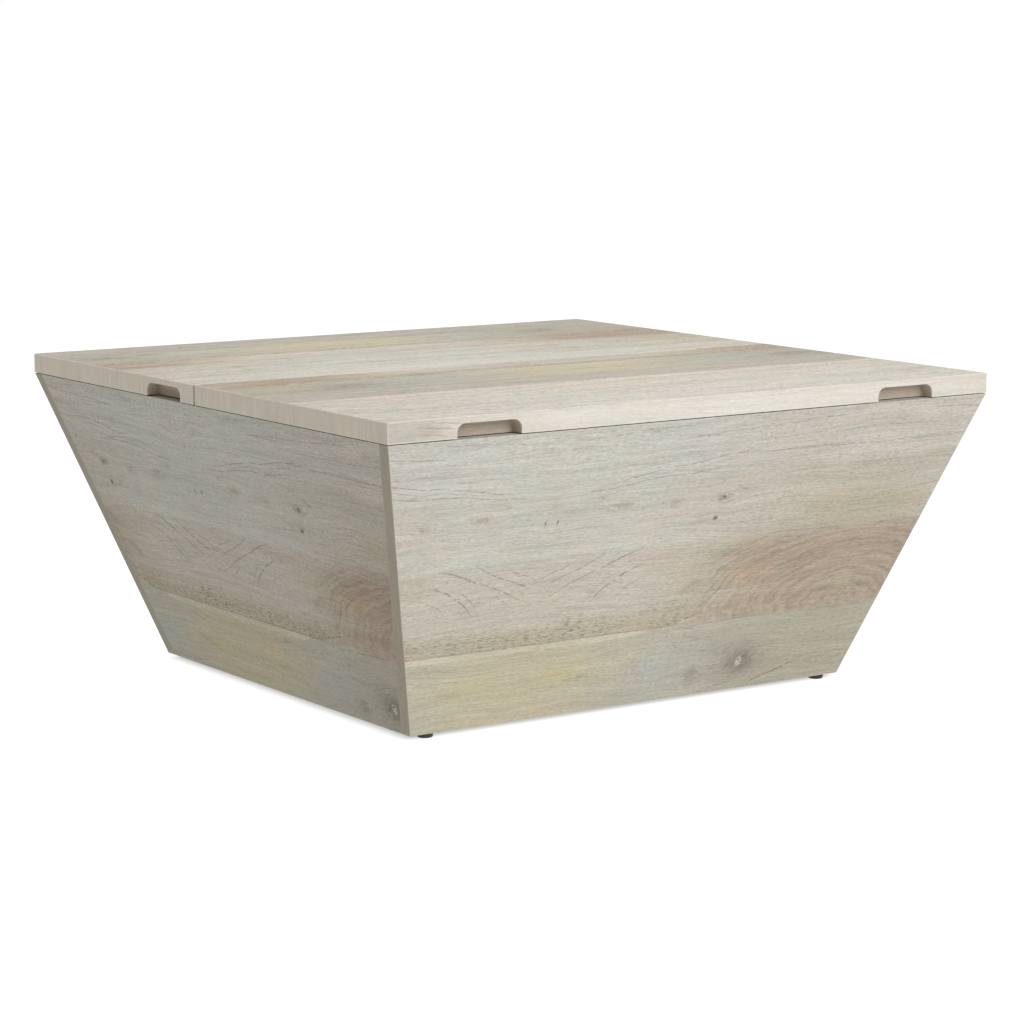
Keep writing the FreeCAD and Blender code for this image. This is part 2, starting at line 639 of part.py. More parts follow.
NOTCH_TOP = "fit.lid_z + dims.notch_height"
NOTCH_FOOT = f"fit.lid_z - {SPARE}"

front_lid_board = lid_board("front_lid", -1)
notches = new_sketch(front_lid_board, "front_lid_notches", "XZ_Plane", "fit.half_lid")
for right in (-1, 1):
    middle = f"{right} * dims.front_notch_x"
    add_loop(notches, rectangle(f"{middle} - dims.notch_width / 2", NOTCH_FOOT,
                                f"{middle} + dims.notch_width / 2", NOTCH_TOP))
pocket(front_lid_board, notches, "dims.notch_depth")
round_notches(front_lid_board, 1)

rear_lid_board = lid_board("rear_lid", 1)
for side, place_x, reverse in (("left", "-fit.half_lid", True), ("right", "fit.half_lid", False)):
    notch = new_sketch(rear_lid_board, f"rear_lid_{side}_notch", "YZ_Plane", place_x)
    add_loop(notch, rectangle("dims.side_notch_y - dims.notch_width / 2", NOTCH_FOOT,
                              "dims.side_notch_y + dims.notch_width / 2", NOTCH_TOP))
    pocket(rear_lid_board, notch, "dims.notch_depth", reverse=reverse)
round_notches(rear_lid_board, 0)
leaf_recess(rear_lid_board, "rear_lid_recesses", "fit.lid_z", True)
finish("rear_lid", cut_by("rear_lid", rear_lid_board, [lid_screw_rooms]))

# Barrel hinges. Each leaf lies flush in its board and carries every other one of five knuckles.

KNUCKLES = 5
PIN_BORE = "(dims.hinge_pin_dia / 2 + dims.pivot_play)"


def knuckle_span(index):
    """The ends of one knuckle along the hinge, less half the play at each inner end."""
    start = f"dims.hinge_length * {index} / {KNUCKLES} - dims.hinge_length / 2"
    stop = f"dims.hinge_length * {index + 1} / {KNUCKLES} - dims.hinge_length / 2"
    if index > 0:
        start += " + dims.knuckle_gap / 2"
    if index < KNUCKLES - 1:
        stop += " - dims.knuckle_gap / 2"
    return start, stop


def hinge_leaf(label, middle, own, up):
    """A leaf below (up = -1) or above (up = 1) the hinge's axis, with the knuckles in own."""
    body = new_body(label + "_blank")
    low = "-dims.lid_gap / 2 - dims.leaf_thick" if up < 0 else "dims.lid_gap / 2"
    plan = new_sketch(body, label + "_plan", "XY_Plane", low)
    inner = "fit.half_lid - dims.leaf_width - fit.hinge_y"
    edge = "-dims.barrel_dia / 2 - dims.knuckle_gap"
    root = "-(dims.barrel_dia + dims.hinge_pin_dia) / 4"
    corners = [("-dims.hinge_length / 2", inner), ("dims.hinge_length / 2", inner)]
    if 0 not in own:
        corners += [("dims.hinge_length / 2", edge)]
    for index in sorted(own, reverse=True):
        start, stop = knuckle_span(index)
        if index < KNUCKLES - 1:
            corners += [(stop, edge)]
        corners += [(stop, root), (start, root)]
        if index > 0:
            corners += [(start, edge)]
    if 0 not in own:
        corners += [("-dims.hinge_length / 2", edge)]
    add_loop(plan, corners)
    pad(body, plan, "dims.leaf_thick")
    tubes = new_sketch(body, label + "_tubes", "XY_Plane")
    for index in own:
        start, stop = knuckle_span(index)
        add_loop(tubes, rectangle(start, PIN_BORE, stop, "dims.barrel_dia / 2"))
    turn(body, tubes, "H_Axis")
    place(body, x=middle, y="fit.hinge_y", z="fit.hinge_z")
    return body


for side, middle in HINGES:
    lower = hinge_leaf(f"{side}_hinge_body_leaf", middle, (0, 2, 4), -1)
    upper = hinge_leaf(f"{side}_hinge_lid_leaf", middle, (1, 3), 1)
    finish(f"{side}_hinge_body_leaf", cut_by(f"{side}_hinge_body_leaf", lower, [body_screw_rooms]))
    finish(f"{side}_hinge_lid_leaf", cut_by(f"{side}_hinge_lid_leaf", upper, [lid_screw_rooms]))
    pin = doc.addObject("Part::Cylinder", f"{side}_hinge_pin")
    bind(pin, Radius="dims.hinge_pin_dia / 2", Height="dims.hinge_length")
    place(pin, x=f"{middle} - dims.hinge_length / 2", y="fit.hinge_y", z="fit.hinge_z",
          axis=BACK, angle="90deg")
    finish(f"{side}_hinge_pin", pin)

# Lift mechanism, modelled on the left and mirrored to the right.


def both_sides(name, left):
    """Finishes a left-hand sub-part and its mirror image."""
    finish("left_" + name, left)
    return finish("right_" + name, mirrored("right_" + name, left, ACROSS))


cleat = new_body("left_cleat_blank")
cleat_section = new_sketch(cleat, "left_cleat_section", "XZ_Plane", "dims.divider_thick / 2")
add_loop(cleat_section, [
    ("-fit.cleat_face", "fit.cleat_z"),
    ("-fit.cleat_face", "fit.cleat_top"),
    ("-fit.cleat_crown", "fit.cleat_top"),
    ("-fit.cleat_wall", "fit.cleat_z"),
])
pad(cleat, cleat_section, "fit.half_rim")
cleat_end = new_sketch(cleat, "left_cleat_end", "YZ_Plane")
add_loop(cleat_end, [
    (f"fit.lean_y * (dims.cleat_height + {SPARE}) - fit.inner_rim_y", f"fit.cleat_z - {SPARE}"),
    (f"-fit.inner_rim_y - fit.lean_y * {SPARE}", f"fit.rim_z + {SPARE}"),
    ("-2 * fit.half_lid", f"fit.rim_z + {SPARE}"),
    ("-2 * fit.half_lid", f"fit.cleat_z - {SPARE}"),
])
pocket(cleat, cleat_end)

PIVOT_BORE = "dims.pivot_dia / 2 + dims.pivot_play"
MARGIN = "dims.plate_margin"
GAS_PIN_BORE = "dims.gas_pin_dia / 2 + dims.pivot_play"

base = new_body("left_base_blank")
base_face = new_sketch(base, "left_base_face", "YZ_Plane")
add_loop(base_face, [
    (f"fit.stop_y - {MARGIN}", f"fit.stop_z + {MARGIN}"),
    (f"fit.front_y + {MARGIN}", f"fit.front_z + {MARGIN}"),
    (f"fit.rear_y + 2 * {MARGIN}", f"fit.rear_z + {MARGIN}"),
    (f"fit.gas_anchor_y + {MARGIN}", f"fit.gas_anchor_z + {MARGIN}"),
    (f"fit.gas_anchor_y + {MARGIN}", f"fit.gas_anchor_z - {MARGIN}"),
    (f"fit.rear_y + 2 * {MARGIN}", f"fit.rear_z - {MARGIN}"),
    (f"fit.stop_y + {MARGIN}", f"fit.rear_z - {MARGIN}"),
    (f"fit.stop_y - {MARGIN}", f"fit.rear_z + {MARGIN}"),
])
add_circle(base_face, "fit.front_y", "fit.front_z", PIVOT_BORE)
add_circle(base_face, "fit.rear_y", "fit.rear_z", PIVOT_BORE)
add_circle(base_face, "fit.stop_y", "fit.stop_z", PIVOT_BORE)
add_circle(base_face, "fit.gas_anchor_y", "fit.gas_anchor_z", GAS_PIN_BORE)
pad(base, base_face, "dims.plate_thick")
place(base, x="-fit.cleat_face")

BASE_SCREWS = [
    ("fit.stop_y + dims.plate_margin / 2", "fit.rear_z + dims.plate_margin / 2"),
    (f"(fit.front_y + fit.rear_y) / 2 - {MARGIN}", "fit.rear_z"),
    (f"fit.rear_y + 4 * {MARGIN}", "fit.rear_z"),
    (f"fit.gas_anchor_y - 3 * {MARGIN}", "fit.gas_anchor_z"),
]


def base_screw_set(name, source):
    """The screws of the left lift base, or the rooms for them, driven outwards."""
    copies = []
    for index, (spot_y, spot_z) in enumerate(BASE_SCREWS):
        copies.append(linked(f"{name}_{index}", source, x="dims.plate_thick - fit.cleat_face",
                             y=spot_y, z=spot_z, axis=BACK, angle="90deg"))
    return compound(name, copies)


left_base_screws = base_screw_set("left_base_screw_set", lift_screw)
left_base_rooms = base_screw_set("left_base_rooms", lift_screw_room)
right_base_screws = mirrored("right_base_screw_set", left_base_screws, ACROSS)
finish("lift_base_screws", compound("lift_base_screw_set", [left_base_screws, right_base_screws]))
both_sides("lift_cleat", cut_by("left_lift_cleat", cleat, [left_base_rooms]))
both_sides("lift_base", cut_by("left_lift_base", base, [left_base_rooms]))


def lift_arm(name, pivot_y, pivot_z):
    """A flat arm with round ends, from its base pivot back and up to its lid pivot."""
    body = new_body("left_" + name)
    face = new_sketch(body, name + "_face", "YZ_Plane")
    half = number("dims.arm_width / 2")
    reach = number("dims.arm_length")
    normal = FreeCAD.Vector(0, 0, 1)
    near = FreeCAD.Vector(0, 0, 0)
    far = FreeCAD.Vector(reach, 0, 0)
    up = FreeCAD.Vector(0, half, 0)
    top = face.addGeometry(Part.LineSegment(near + up, far + up))
    bottom_edge = face.addGeometry(Part.LineSegment(far - up, near - up))
    quarter = math.pi / 2
    far_end = face.addGeometry(Part.ArcOfCircle(Part.Circle(far, normal, half), -quarter, quarter))
    near_end = face.addGeometry(Part.ArcOfCircle(Part.Circle(near, normal, half), quarter, 3 * quarter))
    for line, point, arc, arc_point in ((top, 2, far_end, 2), (bottom_edge, 1, far_end, 1),
                                        (bottom_edge, 2, near_end, 2), (top, 1, near_end, 1)):
        face.addConstraint(Sketcher.Constraint("Tangent", line, point, arc, arc_point))
    pin_point(face, near_end, 3, "0", "0")
    pin_point(face, far_end, 3, "dims.arm_length", "0")
    index = face.addConstraint(Sketcher.Constraint("Radius", near_end, half))
    face.setExpression(f"Constraints[{index}]", "dims.arm_width / 2")
    add_circle(face, "0", "0", PIVOT_BORE)
    add_circle(face, "dims.arm_length", "0", PIVOT_BORE)
    pad(body, face, "dims.arm_thick")
    place(body, x="-fit.arm_x", y=pivot_y, z=pivot_z, axis=ACROSS, angle="fit.arm_tilt")
    both_sides(name, body)


lift_arm("front_arm", "fit.front_y", "fit.front_z")
lift_arm("rear_arm", "fit.rear_y", "fit.rear_z")

rail = new_body("left_rail_blank")
rail_face = new_sketch(rail, "left_rail_face", "YZ_Plane")
add_loop(rail_face, [
    ("fit.front_up_y - dims.rail_reach", "fit.lid_z"),
    ("fit.rail_end", "fit.lid_z"),
    ("fit.rail_end", f"fit.rear_up_z - {MARGIN}"),
    (f"fit.rear_up_y - {MARGIN}", f"fit.rear_up_z - {MARGIN}"),
    (f"fit.front_up_y - {MARGIN}", f"fit.front_up_z - {MARGIN}"),
    ("fit.front_up_y - dims.rail_reach", f"fit.lid_z - {MARGIN}"),
])
add_circle(rail_face, "fit.front_up_y", "fit.front_up_z", PIVOT_BORE)
add_circle(rail_face, "fit.rear_up_y", "fit.rear_up_z", PIVOT_BORE)
pad(rail, rail_face, "dims.plate_thick")
rail_flange = new_sketch(rail, "left_rail_flange", "XY_Plane", "fit.lid_z - dims.plate_thick")
add_loop(rail_flange, rectangle("0", "fit.front_up_y - dims.rail_reach",
                                "dims.rail_flange", "fit.rail_end"))
pad(rail, rail_flange, "dims.plate_thick")
place(rail, x="-fit.web_x")

RAIL_SCREWS = [
    f"fit.front_up_y - dims.rail_reach + {MARGIN}",
    "fit.front_up_y - dims.rail_reach / 2",
    "(fit.front_up_y + fit.rear_up_y) / 2",
    "fit.rear_up_y",
]


def rail_screw_set(name, source):
    """The screws of the left lid rail, or the rooms for them, driven upwards."""
    copies = []
    for index, spot_y in enumerate(RAIL_SCREWS):
        copies.append(linked(f"{name}_{index}", source, y=spot_y, axis=ACROSS, angle="180deg",
                             x="(dims.plate_thick + dims.rail_flange) / 2 - fit.web_x",
                             z="fit.lid_z - dims.plate_thick"))
    return compound(name, copies)


left_rail_screws = rail_screw_set("left_rail_screw_set", lift_screw)
left_rail_rooms = rail_screw_set("left_rail_rooms", lift_screw_room)
right_rail_screws = mirrored("right_rail_screw_set", left_rail_screws, ACROSS)
right_rail_rooms = mirrored("right_rail_rooms", left_rail_rooms, ACROSS)
finish("lid_rail_screws", compound("lid_rail_screw_set", [left_rail_screws, right_rail_screws]))
both_sides("lid_rail", cut_by("left_lid_rail", rail, [left_rail_rooms]))
finish("front_lid", cut_by("front_lid", front_lid_board, [left_rail_rooms, right_rail_rooms]))

# Pivot rivets: flush in the plate, with a shoulder that spaces the arm and a flat head outside it.

ARM_NEAR = "dims.plate_thick + dims.layer_gap"
ARM_FAR = "dims.plate_thick + 2 * dims.layer_gap + dims.arm_thick"
rivet = turned_body("pivot_rivet", "XY_Plane", "H_Axis", [
    ("0", "0"),
    ("0", "dims.pivot_dia / 2"),
    ("dims.plate_thick", "dims.pivot_dia / 2"),
    ("dims.plate_thick", "dims.pivot_head / 2"),
    (f"{ARM_NEAR} - dims.pivot_play", "dims.pivot_head / 2"),
    (f"{ARM_NEAR} - dims.pivot_play", "dims.pivot_dia / 2"),
    (f"{ARM_FAR} - dims.layer_gap + dims.pivot_play", "dims.pivot_dia / 2"),
    (f"{ARM_FAR} - dims.layer_gap + dims.pivot_play", "dims.pivot_head / 2"),
    (f"{ARM_FAR} - dims.layer_gap + dims.head_thick", "dims.pivot_head / 2"),
    (f"{ARM_FAR} - dims.layer_gap + dims.head_thick", "0"),
])
base_rivets = [
    linked("left_front_base_rivet", rivet, x="-fit.cleat_face", y="fit.front_y", z="fit.front_z"),
    linked("left_rear_base_rivet", rivet, x="-fit.cleat_face", y="fit.rear_y", z="fit.rear_z"),
]
both_sides("base_rivets", compound("left_base_rivets", base_rivets))
rail_rivets = [
    linked("left_front_rail_rivet", rivet, x="-fit.web_in_x", y="fit.front_up_y", z="fit.front_up_z",
           axis=UPRIGHT, angle="180deg"),
    linked("left_rear_rail_rivet", rivet, x="-fit.web_in_x", y="fit.rear_up_y", z="fit.rear_up_z",
           axis=UPRIGHT, angle="180deg"),
]
both_sides("rail_rivets", compound("left_rail_rivets", rail_rivets))

stop_stud = turned_body("left_stop_stud", "XY_Plane", "H_Axis", [
    ("0", "0"),
    ("0", "dims.pivot_dia / 2"),
    ("dims.plate_thick", "dims.pivot_dia / 2"),
    ("dims.plate_thick", "dims.stop_dia / 2"),
    (ARM_FAR, "dims.stop_dia / 2"),
    (ARM_FAR, "0"),
])
place(stop_stud, x="-fit.cleat_face", y="fit.stop_y", z="fit.stop_z")
both_sides("stop_stud", stop_stud)

# Gas springs: the tube is pinned to the base's tail, and the rod's pin drives the rear arm.

EYE = "dims.gas_eye_dia / 2"
GAS_LINE = {
    "x": "-fit.gas_x",
    "y": "fit.gas_pin_y",
    "z": "fit.gas_pin_z",
    "axis": ACROSS,
    "angle": "-dims.gas_slope * 1deg",
}
NECK_BACK = f"dims.gas_length - {EYE} + dims.gas_tube_wall"
TUBE_BACK = f"dims.gas_length - {EYE} - dims.gas_gap"
CHAMBER_BACK = f"{TUBE_BACK} - dims.gas_tube_wall"
TUBE_FRONT = f"{TUBE_BACK} - dims.gas_tube_length"


def add_eye(body, name, spot_y):
    """An end eye for a pin that runs across, round a spot on the gas spring's own line."""
    ring = new_sketch(body, name + "_ring", "YZ_Plane")
    add_circle(ring, spot_y, "0", EYE)
    pad(body, ring, "dims.gas_eye_width", symmetric=True)
    bore = new_sketch(body, name + "_bore", "YZ_Plane")
    add_circle(bore, spot_y, "0", GAS_PIN_BORE)
    pocket(body, bore)


tube = new_body("left_gas_tube")
tube_profile = new_sketch(tube, "left_gas_tube_profile", "YZ_Plane")
add_loop(tube_profile, [
    (NECK_BACK, "0"),
    (NECK_BACK, "dims.gas_rod_dia / 2"),
    (TUBE_BACK, "dims.gas_rod_dia / 2"),
    (TUBE_BACK, "dims.gas_tube_dia / 2"),
    (TUBE_FRONT, "dims.gas_tube_dia / 2"),
    (TUBE_FRONT, "dims.gas_rod_dia / 2 + dims.pivot_play"),
    (f"{TUBE_FRONT} + dims.gas_guide", "dims.gas_rod_dia / 2 + dims.pivot_play"),
    (f"{TUBE_FRONT} + dims.gas_guide", "fit.gas_bore"),
    (CHAMBER_BACK, "fit.gas_bore"),
    (CHAMBER_BACK, "0"),
])
turn(tube, tube_profile, "H_Axis")
add_eye(tube, "left_gas_tube", "dims.gas_length")
place(tube, **GAS_LINE)
both_sides("gas_tube", tube)

PISTON_BACK = f"{CHAMBER_BACK} - dims.gas_gap"
rod = new_body("left_gas_rod")
rod_profile = new_sketch(rod, "left_gas_rod_profile", "YZ_Plane")
add_loop(rod_profile, [
    (PISTON_BACK, "0"),
    (PISTON_BACK, "fit.gas_bore - dims.pivot_play"),
    (f"{PISTON_BACK} - dims.gas_piston", "fit.gas_bore - dims.pivot_play"),
    (f"{PISTON_BACK} - dims.gas_piston", "dims.gas_rod_dia / 2"),
    (f"{EYE} - dims.gas_tube_wall", "dims.gas_rod_dia / 2"),
    (f"{EYE} - dims.gas_tube_wall", "0"),
])
turn(rod, rod_profile, "H_Axis")
add_eye(rod, "left_gas_rod", "0")
place(rod, **GAS_LINE)
both_sides("gas_rod", rod)

PIN_END = "dims.gas_eye_width / 2 + dims.head_thick"
rod_pin = turned_body("left_gas_pin", "XY_Plane", "H_Axis", [
    ("fit.gas_x - fit.arm_in_x + dims.gas_clear", "0"),
    ("fit.gas_x - fit.arm_in_x + dims.gas_clear", "dims.gas_pin_dia / 2"),
    ("dims.gas_eye_width / 2 + dims.pivot_play", "dims.gas_pin_dia / 2"),
    ("dims.gas_eye_width / 2 + dims.pivot_play", f"{EYE}"),
    (PIN_END, f"{EYE}"),
    (PIN_END, "0"),
])
place(rod_pin, x="-fit.gas_x", y="fit.gas_pin_y", z="fit.gas_pin_z")
both_sides("gas_pin", rod_pin)

anchor = turned_body("left_gas_anchor", "XY_Plane", "H_Axis", [
    ("fit.gas_x - fit.cleat_face", "0"),
    ("fit.gas_x - fit.cleat_face", "dims.gas_pin_dia / 2"),
    ("fit.gas_x - fit.cleat_face + dims.plate_thick", "dims.gas_pin_dia / 2"),
    ("fit.gas_x - fit.cleat_face + dims.plate_thick", "dims.stop_dia / 2"),
    ("-dims.gas_eye_width / 2 - dims.pivot_play", "dims.stop_dia / 2"),
    ("-dims.gas_eye_width / 2 - dims.pivot_play", "dims.gas_pin_dia / 2"),
    ("dims.gas_eye_width / 2 + dims.pivot_play", "dims.gas_pin_dia / 2"),
    ("dims.gas_eye_width / 2 + dims.pivot_play", f"{EYE}"),
    (PIN_END, f"{EYE}"),
    (PIN_END, "0"),
])
place(anchor, x="-fit.gas_x", y="fit.gas_anchor_y", z="fit.gas_anchor_z")
both_sides("gas_anchor", anchor)

# Checks, then one file per sub-part.

doc.recompute()
for item in doc.Objects:
    if "Invalid" in item.State or "Error" in item.State:
        raise RuntimeError(f"{item.Name} ({item.Label}) did not compute: {item.State}")
for label, item in SUB_PARTS.items():
    if item.Shape.isNull() or not item.Shape.isValid() or not item.Shape.Solids:
        raise RuntimeError(f"{label} has no valid solid")

for name in ("hinge_y", "hinge_z", "front_y", "front_z", "rear_y", "rear_z", "front_up_y", "front_up_z",
             "rear_up_y", "rear_up_z", "gas_stroke", "gas_pin_y", "gas_pin_z", "lid_z", "rim_z"):
    print(name, round(number("fit." + name), 3))

os.makedirs("parts", exist_ok=True)
for label, item in SUB_PARTS.items():
    item.Shape.exportStep(f"parts/{label}.step")
print(len(SUB_PARTS), "sub-parts written")
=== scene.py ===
"""Looks of a square lift-top coffee table in whitewashed wood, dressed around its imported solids.

Lengths are in metres, in the solids' own frame: the origin is on the floor under the middle, +X is to the
right, +Y to the back and +Z up. A span is a pair of values, mostly those between which something changes.
"""

import json
import logging
import math
from dataclasses import dataclass
from enum import Enum

import bpy
import numpy as np
from mathutils import Matrix, Vector

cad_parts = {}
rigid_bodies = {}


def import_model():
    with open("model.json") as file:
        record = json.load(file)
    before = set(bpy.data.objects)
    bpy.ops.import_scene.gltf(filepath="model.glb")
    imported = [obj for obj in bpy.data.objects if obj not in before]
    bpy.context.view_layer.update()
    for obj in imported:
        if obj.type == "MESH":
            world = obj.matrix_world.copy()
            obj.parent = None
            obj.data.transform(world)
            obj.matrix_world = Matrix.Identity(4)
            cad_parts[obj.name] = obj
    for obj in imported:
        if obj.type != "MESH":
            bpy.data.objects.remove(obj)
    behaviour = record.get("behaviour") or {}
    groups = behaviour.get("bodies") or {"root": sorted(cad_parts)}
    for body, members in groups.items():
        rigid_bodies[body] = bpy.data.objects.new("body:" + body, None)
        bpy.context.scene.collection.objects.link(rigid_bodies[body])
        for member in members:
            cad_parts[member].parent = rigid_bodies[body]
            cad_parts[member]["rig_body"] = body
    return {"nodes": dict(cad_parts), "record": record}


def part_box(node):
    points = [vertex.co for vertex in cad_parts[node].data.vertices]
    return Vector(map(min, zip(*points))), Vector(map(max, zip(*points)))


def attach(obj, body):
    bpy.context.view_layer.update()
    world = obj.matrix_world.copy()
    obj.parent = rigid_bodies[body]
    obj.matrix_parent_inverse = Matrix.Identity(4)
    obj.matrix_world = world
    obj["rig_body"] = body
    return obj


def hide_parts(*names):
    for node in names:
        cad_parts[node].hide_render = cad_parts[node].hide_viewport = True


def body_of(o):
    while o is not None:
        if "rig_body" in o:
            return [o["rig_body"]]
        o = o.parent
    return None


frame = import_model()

LOG = logging.getLogger("coffee_table")
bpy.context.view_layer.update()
NOISE_MIDDLE = 0.5

Colour = tuple[float, float, float]
Point = tuple[float, float, float]
Span = tuple[float, float]
NodeTree = bpy.types.NodeTree
Socket = bpy.types.NodeSocket
Feed = Socket | float | tuple
Grid = tuple[np.ndarray, np.ndarray]


@dataclass(frozen=True)
class Noise:
    """A soft noise between 0 and 1.

    Attributes:
        waves: Waves per metre along the three axes.
        detail: Octaves of finer noise added on top.
        roughness: Strength of each finer octave.
        depth: How far it moves what it ripples.
        span: Values between which its mask goes from 0 to 1.
    """

    waves: Point
    detail: float = 2.0
    roughness: float = 0.55
    depth: float = 1.0
    span: Span = (0.0, 1.0)


class Wiring:
    """A node tree with short ways to add nodes and to join them."""

    def __init__(self, tree: NodeTree) -> None:
        """Keeps the tree that the nodes go into."""
        self.tree = tree

    def feed(self, socket: Socket, value: Feed) -> None:
        """Links a value to a socket, or sets it there when it is a plain number or colour."""
        if isinstance(value, bpy.types.NodeSocket):
            self.tree.links.new(value, socket)
        elif socket.type == "RGBA" and len(value) == 3:
            socket.default_value = (*value, 1.0)
        else:
            socket.default_value = value

    def add(self, kind: str, inputs: dict | None = None, **settings: object) -> bpy.types.Node:
        """Adds a node.

        Args:
            kind: Its type.
            inputs: Values for its sockets, by number or name.
            settings: Values for its own properties.

        Returns:
            The node.
        """
        node = self.tree.nodes.new(kind)
        for name, value in settings.items():
            setattr(node, name, value)
        for label, value in (inputs or {}).items():
            self.feed(node.inputs[label], value)
        return node

    def math(self, operation: str, *values: Feed) -> Socket:
        """One sum on numbers, such as MINIMUM or ABSOLUTE."""
        return self.add("ShaderNodeMath", dict(enumerate(values)), operation=operation).outputs[0]

    def plus(self, first: Feed, second: Feed) -> Socket:
        """The sum of two numbers."""
        return self.math("ADD", first, second)

    def minus(self, first: Feed, second: Feed) -> Socket:
        """The first number less the second."""
        return self.math("SUBTRACT", first, second)

    def times(self, first: Feed, *others: Feed) -> Socket:
        """The product of all the numbers."""
        for other in others:
            first = self.math("MULTIPLY", first, other)
        return first

    def scaled(self, value: Feed, factor: Feed, base: Feed) -> Socket:
        """The base plus a number times a factor."""
        return self.math("MULTIPLY_ADD", value, factor, base)

    def ripple(self, value: Socket, depth: float, base: Feed = 1.0) -> Socket:
        """The base, raised and lowered by a noise's value times a depth."""
        return self.scaled(self.minus(value, NOISE_MIDDLE), depth, base)

    def vector(self, operation: str, *values: Feed) -> Socket:
        """One sum on vectors, such as MULTIPLY or LENGTH."""
        outputs = self.add("ShaderNodeVectorMath", dict(enumerate(values)), operation=operation).outputs
        return outputs["Value"] if operation in ("LENGTH", "DOT_PRODUCT") else outputs["Vector"]

    def join(self, x: Feed, y: Feed, z: Feed) -> Socket:
        """Three numbers as one vector."""
        return self.add("ShaderNodeCombineXYZ", {0: x, 1: y, 2: z}).outputs[0]

    def split(self, vector: Feed) -> tuple[Socket, Socket, Socket]:
        """One vector as three numbers."""
        return tuple(self.add("ShaderNodeSeparateXYZ", {0: vector}).outputs)

    def oval(self, far: Socket, aside: Socket, length: float, width: float) -> Socket:
        """Distance from an oval's middle as a share of its half length and half width."""
        reach = self.join(self.math("DIVIDE", far, length), self.math("DIVIDE", aside, width), 0.0)
        return self.vector("LENGTH", reach)

    def noise(self, place: Feed, noise: Noise) -> Socket:
        """The value of a noise at a place in metres."""
        inputs = {"Vector": self.vector("MULTIPLY", place, noise.waves), "Scale": 1.0}
        inputs |= {"Detail": noise.detail, "Roughness": noise.roughness}
        return self.add("ShaderNodeTexNoise", inputs).outputs[0]

    def swing(self, place: Feed, noise: Noise) -> Socket:
        """A noise less its middle value."""
        return self.minus(self.noise(place, noise), NOISE_MIDDLE)

    def rippled(self, place: Feed, noise: Noise, base: Feed = 1.0) -> Socket:
        """The base, raised and lowered by a noise times its depth."""
        return self.scaled(self.swing(place, noise), noise.depth, base)

    def mask(self, place: Feed, noise: Noise) -> Socket:
        """1 where a noise is past its span, 0 before it, and smooth between."""
        return self.fade(self.noise(place, noise), *noise.span)

    def fade(self, value: Feed, start: Feed, end: Feed, course: str = "SMOOTHSTEP") -> Socket:
        """Goes from 0 at start to 1 at end, smoothly unless it is given another course."""
        inputs = {"Value": value, "From Min": start, "From Max": end}
        return self.add("ShaderNodeMapRange", inputs, interpolation_type=course).outputs[0]

    def rise(self, value: Feed, start: float, end: float) -> Socket:
        """Goes evenly from 0 at start to 1 at end."""
        return self.fade(value, start, end, "LINEAR")

    def ramp(self, value: Feed, stops: tuple[tuple[float, Colour], ...]) -> Socket:
        """A colour that changes evenly between stops, each a place from 0 to 1 and a colour."""
        node = self.add("ShaderNodeValToRGB", {0: value})
        elements = node.color_ramp.elements
        while len(elements) < len(stops):
            elements.new(1.0)
        for element, (place, colour) in zip(elements, stops):
            element.position = place
            element.color = (*colour, 1.0)
        return node.outputs[0]

    def blend(self, share: Feed, first: Feed, second: Feed, mode: str = "MIX") -> Socket:
        """Mixes two colours by a share from 0 to 1, or multiplies the first by the second by that share."""
        inputs = {0: share, 6: first, 7: second}
        return self.add("ShaderNodeMix", inputs, data_type="RGBA", blend_type=mode).outputs[2]

    def between(self, share: Feed, first: Feed, second: Feed) -> Socket:
        """Mixes two numbers by a share between 0 and 1."""
        return self.add("ShaderNodeMix", {0: share, 2: first, 3: second}, data_type="FLOAT").outputs[0]

    def shade(self, colour: Feed, factor: Feed) -> Socket:
        """A colour times a factor or a tint."""
        return self.blend(1.0, colour, factor, "MULTIPLY")

    def bump(self, height: Socket, strength: float, distance: float) -> Socket:
        """Directions of a surface that a height raises, by a strength and over a distance."""
        inputs = {"Strength": strength, "Distance": distance, "Height": height}
        return self.add("ShaderNodeBump", inputs).outputs[0]


def new_group(name: str, inputs: tuple[str, ...], outputs: tuple[tuple[str, str], ...]) -> tuple:
    """Starts a shader node group.

    Args:
        name: The group's name.
        inputs: Names of its number inputs.
        outputs: Names and socket kinds of its outputs.

    Returns:
        The wiring, the group's input sockets by name and its output node.
    """
    tree = bpy.data.node_groups.new(name, "ShaderNodeTree")
    for label in inputs:
        tree.interface.new_socket(name=label, in_out="INPUT", socket_type="NodeSocketFloat")
    for label, kind in outputs:
        tree.interface.new_socket(name=label, in_out="OUTPUT", socket_type=kind)
    wiring = Wiring(tree)
    entry = wiring.add("NodeGroupInput")
    exit_node = wiring.add("NodeGroupOutput")
    return wiring, entry.outputs, exit_node


def new_material(name: str) -> tuple:
    """Starts a material.

    Args:
        name: The material's name.

    Returns:
        The material, its wiring, its shader and the piece's own coordinates.
    """
    material = bpy.data.materials.new(name)
    material.use_nodes = True
    wiring = Wiring(material.node_tree)
    coordinates = wiring.add("ShaderNodeTexCoord").outputs["Object"]
    return material, wiring, material.node_tree.nodes["Principled BSDF"], coordinates


@dataclass(frozen=True)
class Knot:
    """A knot in the figure.

    Attributes:
        along: Its place along the board.
        across: Its place across the boards.
        length: Half its length.
        width: Half its width.
        dark: How dark it is.
        bend: How far the grain parts round it, from 0 to 1.
        pale: How pale the filler specks in its middle are.
    """

    along: float
    across: float
    length: float
    width: float
    dark: float
    bend: float = 0.9
    pale: float = 0.0


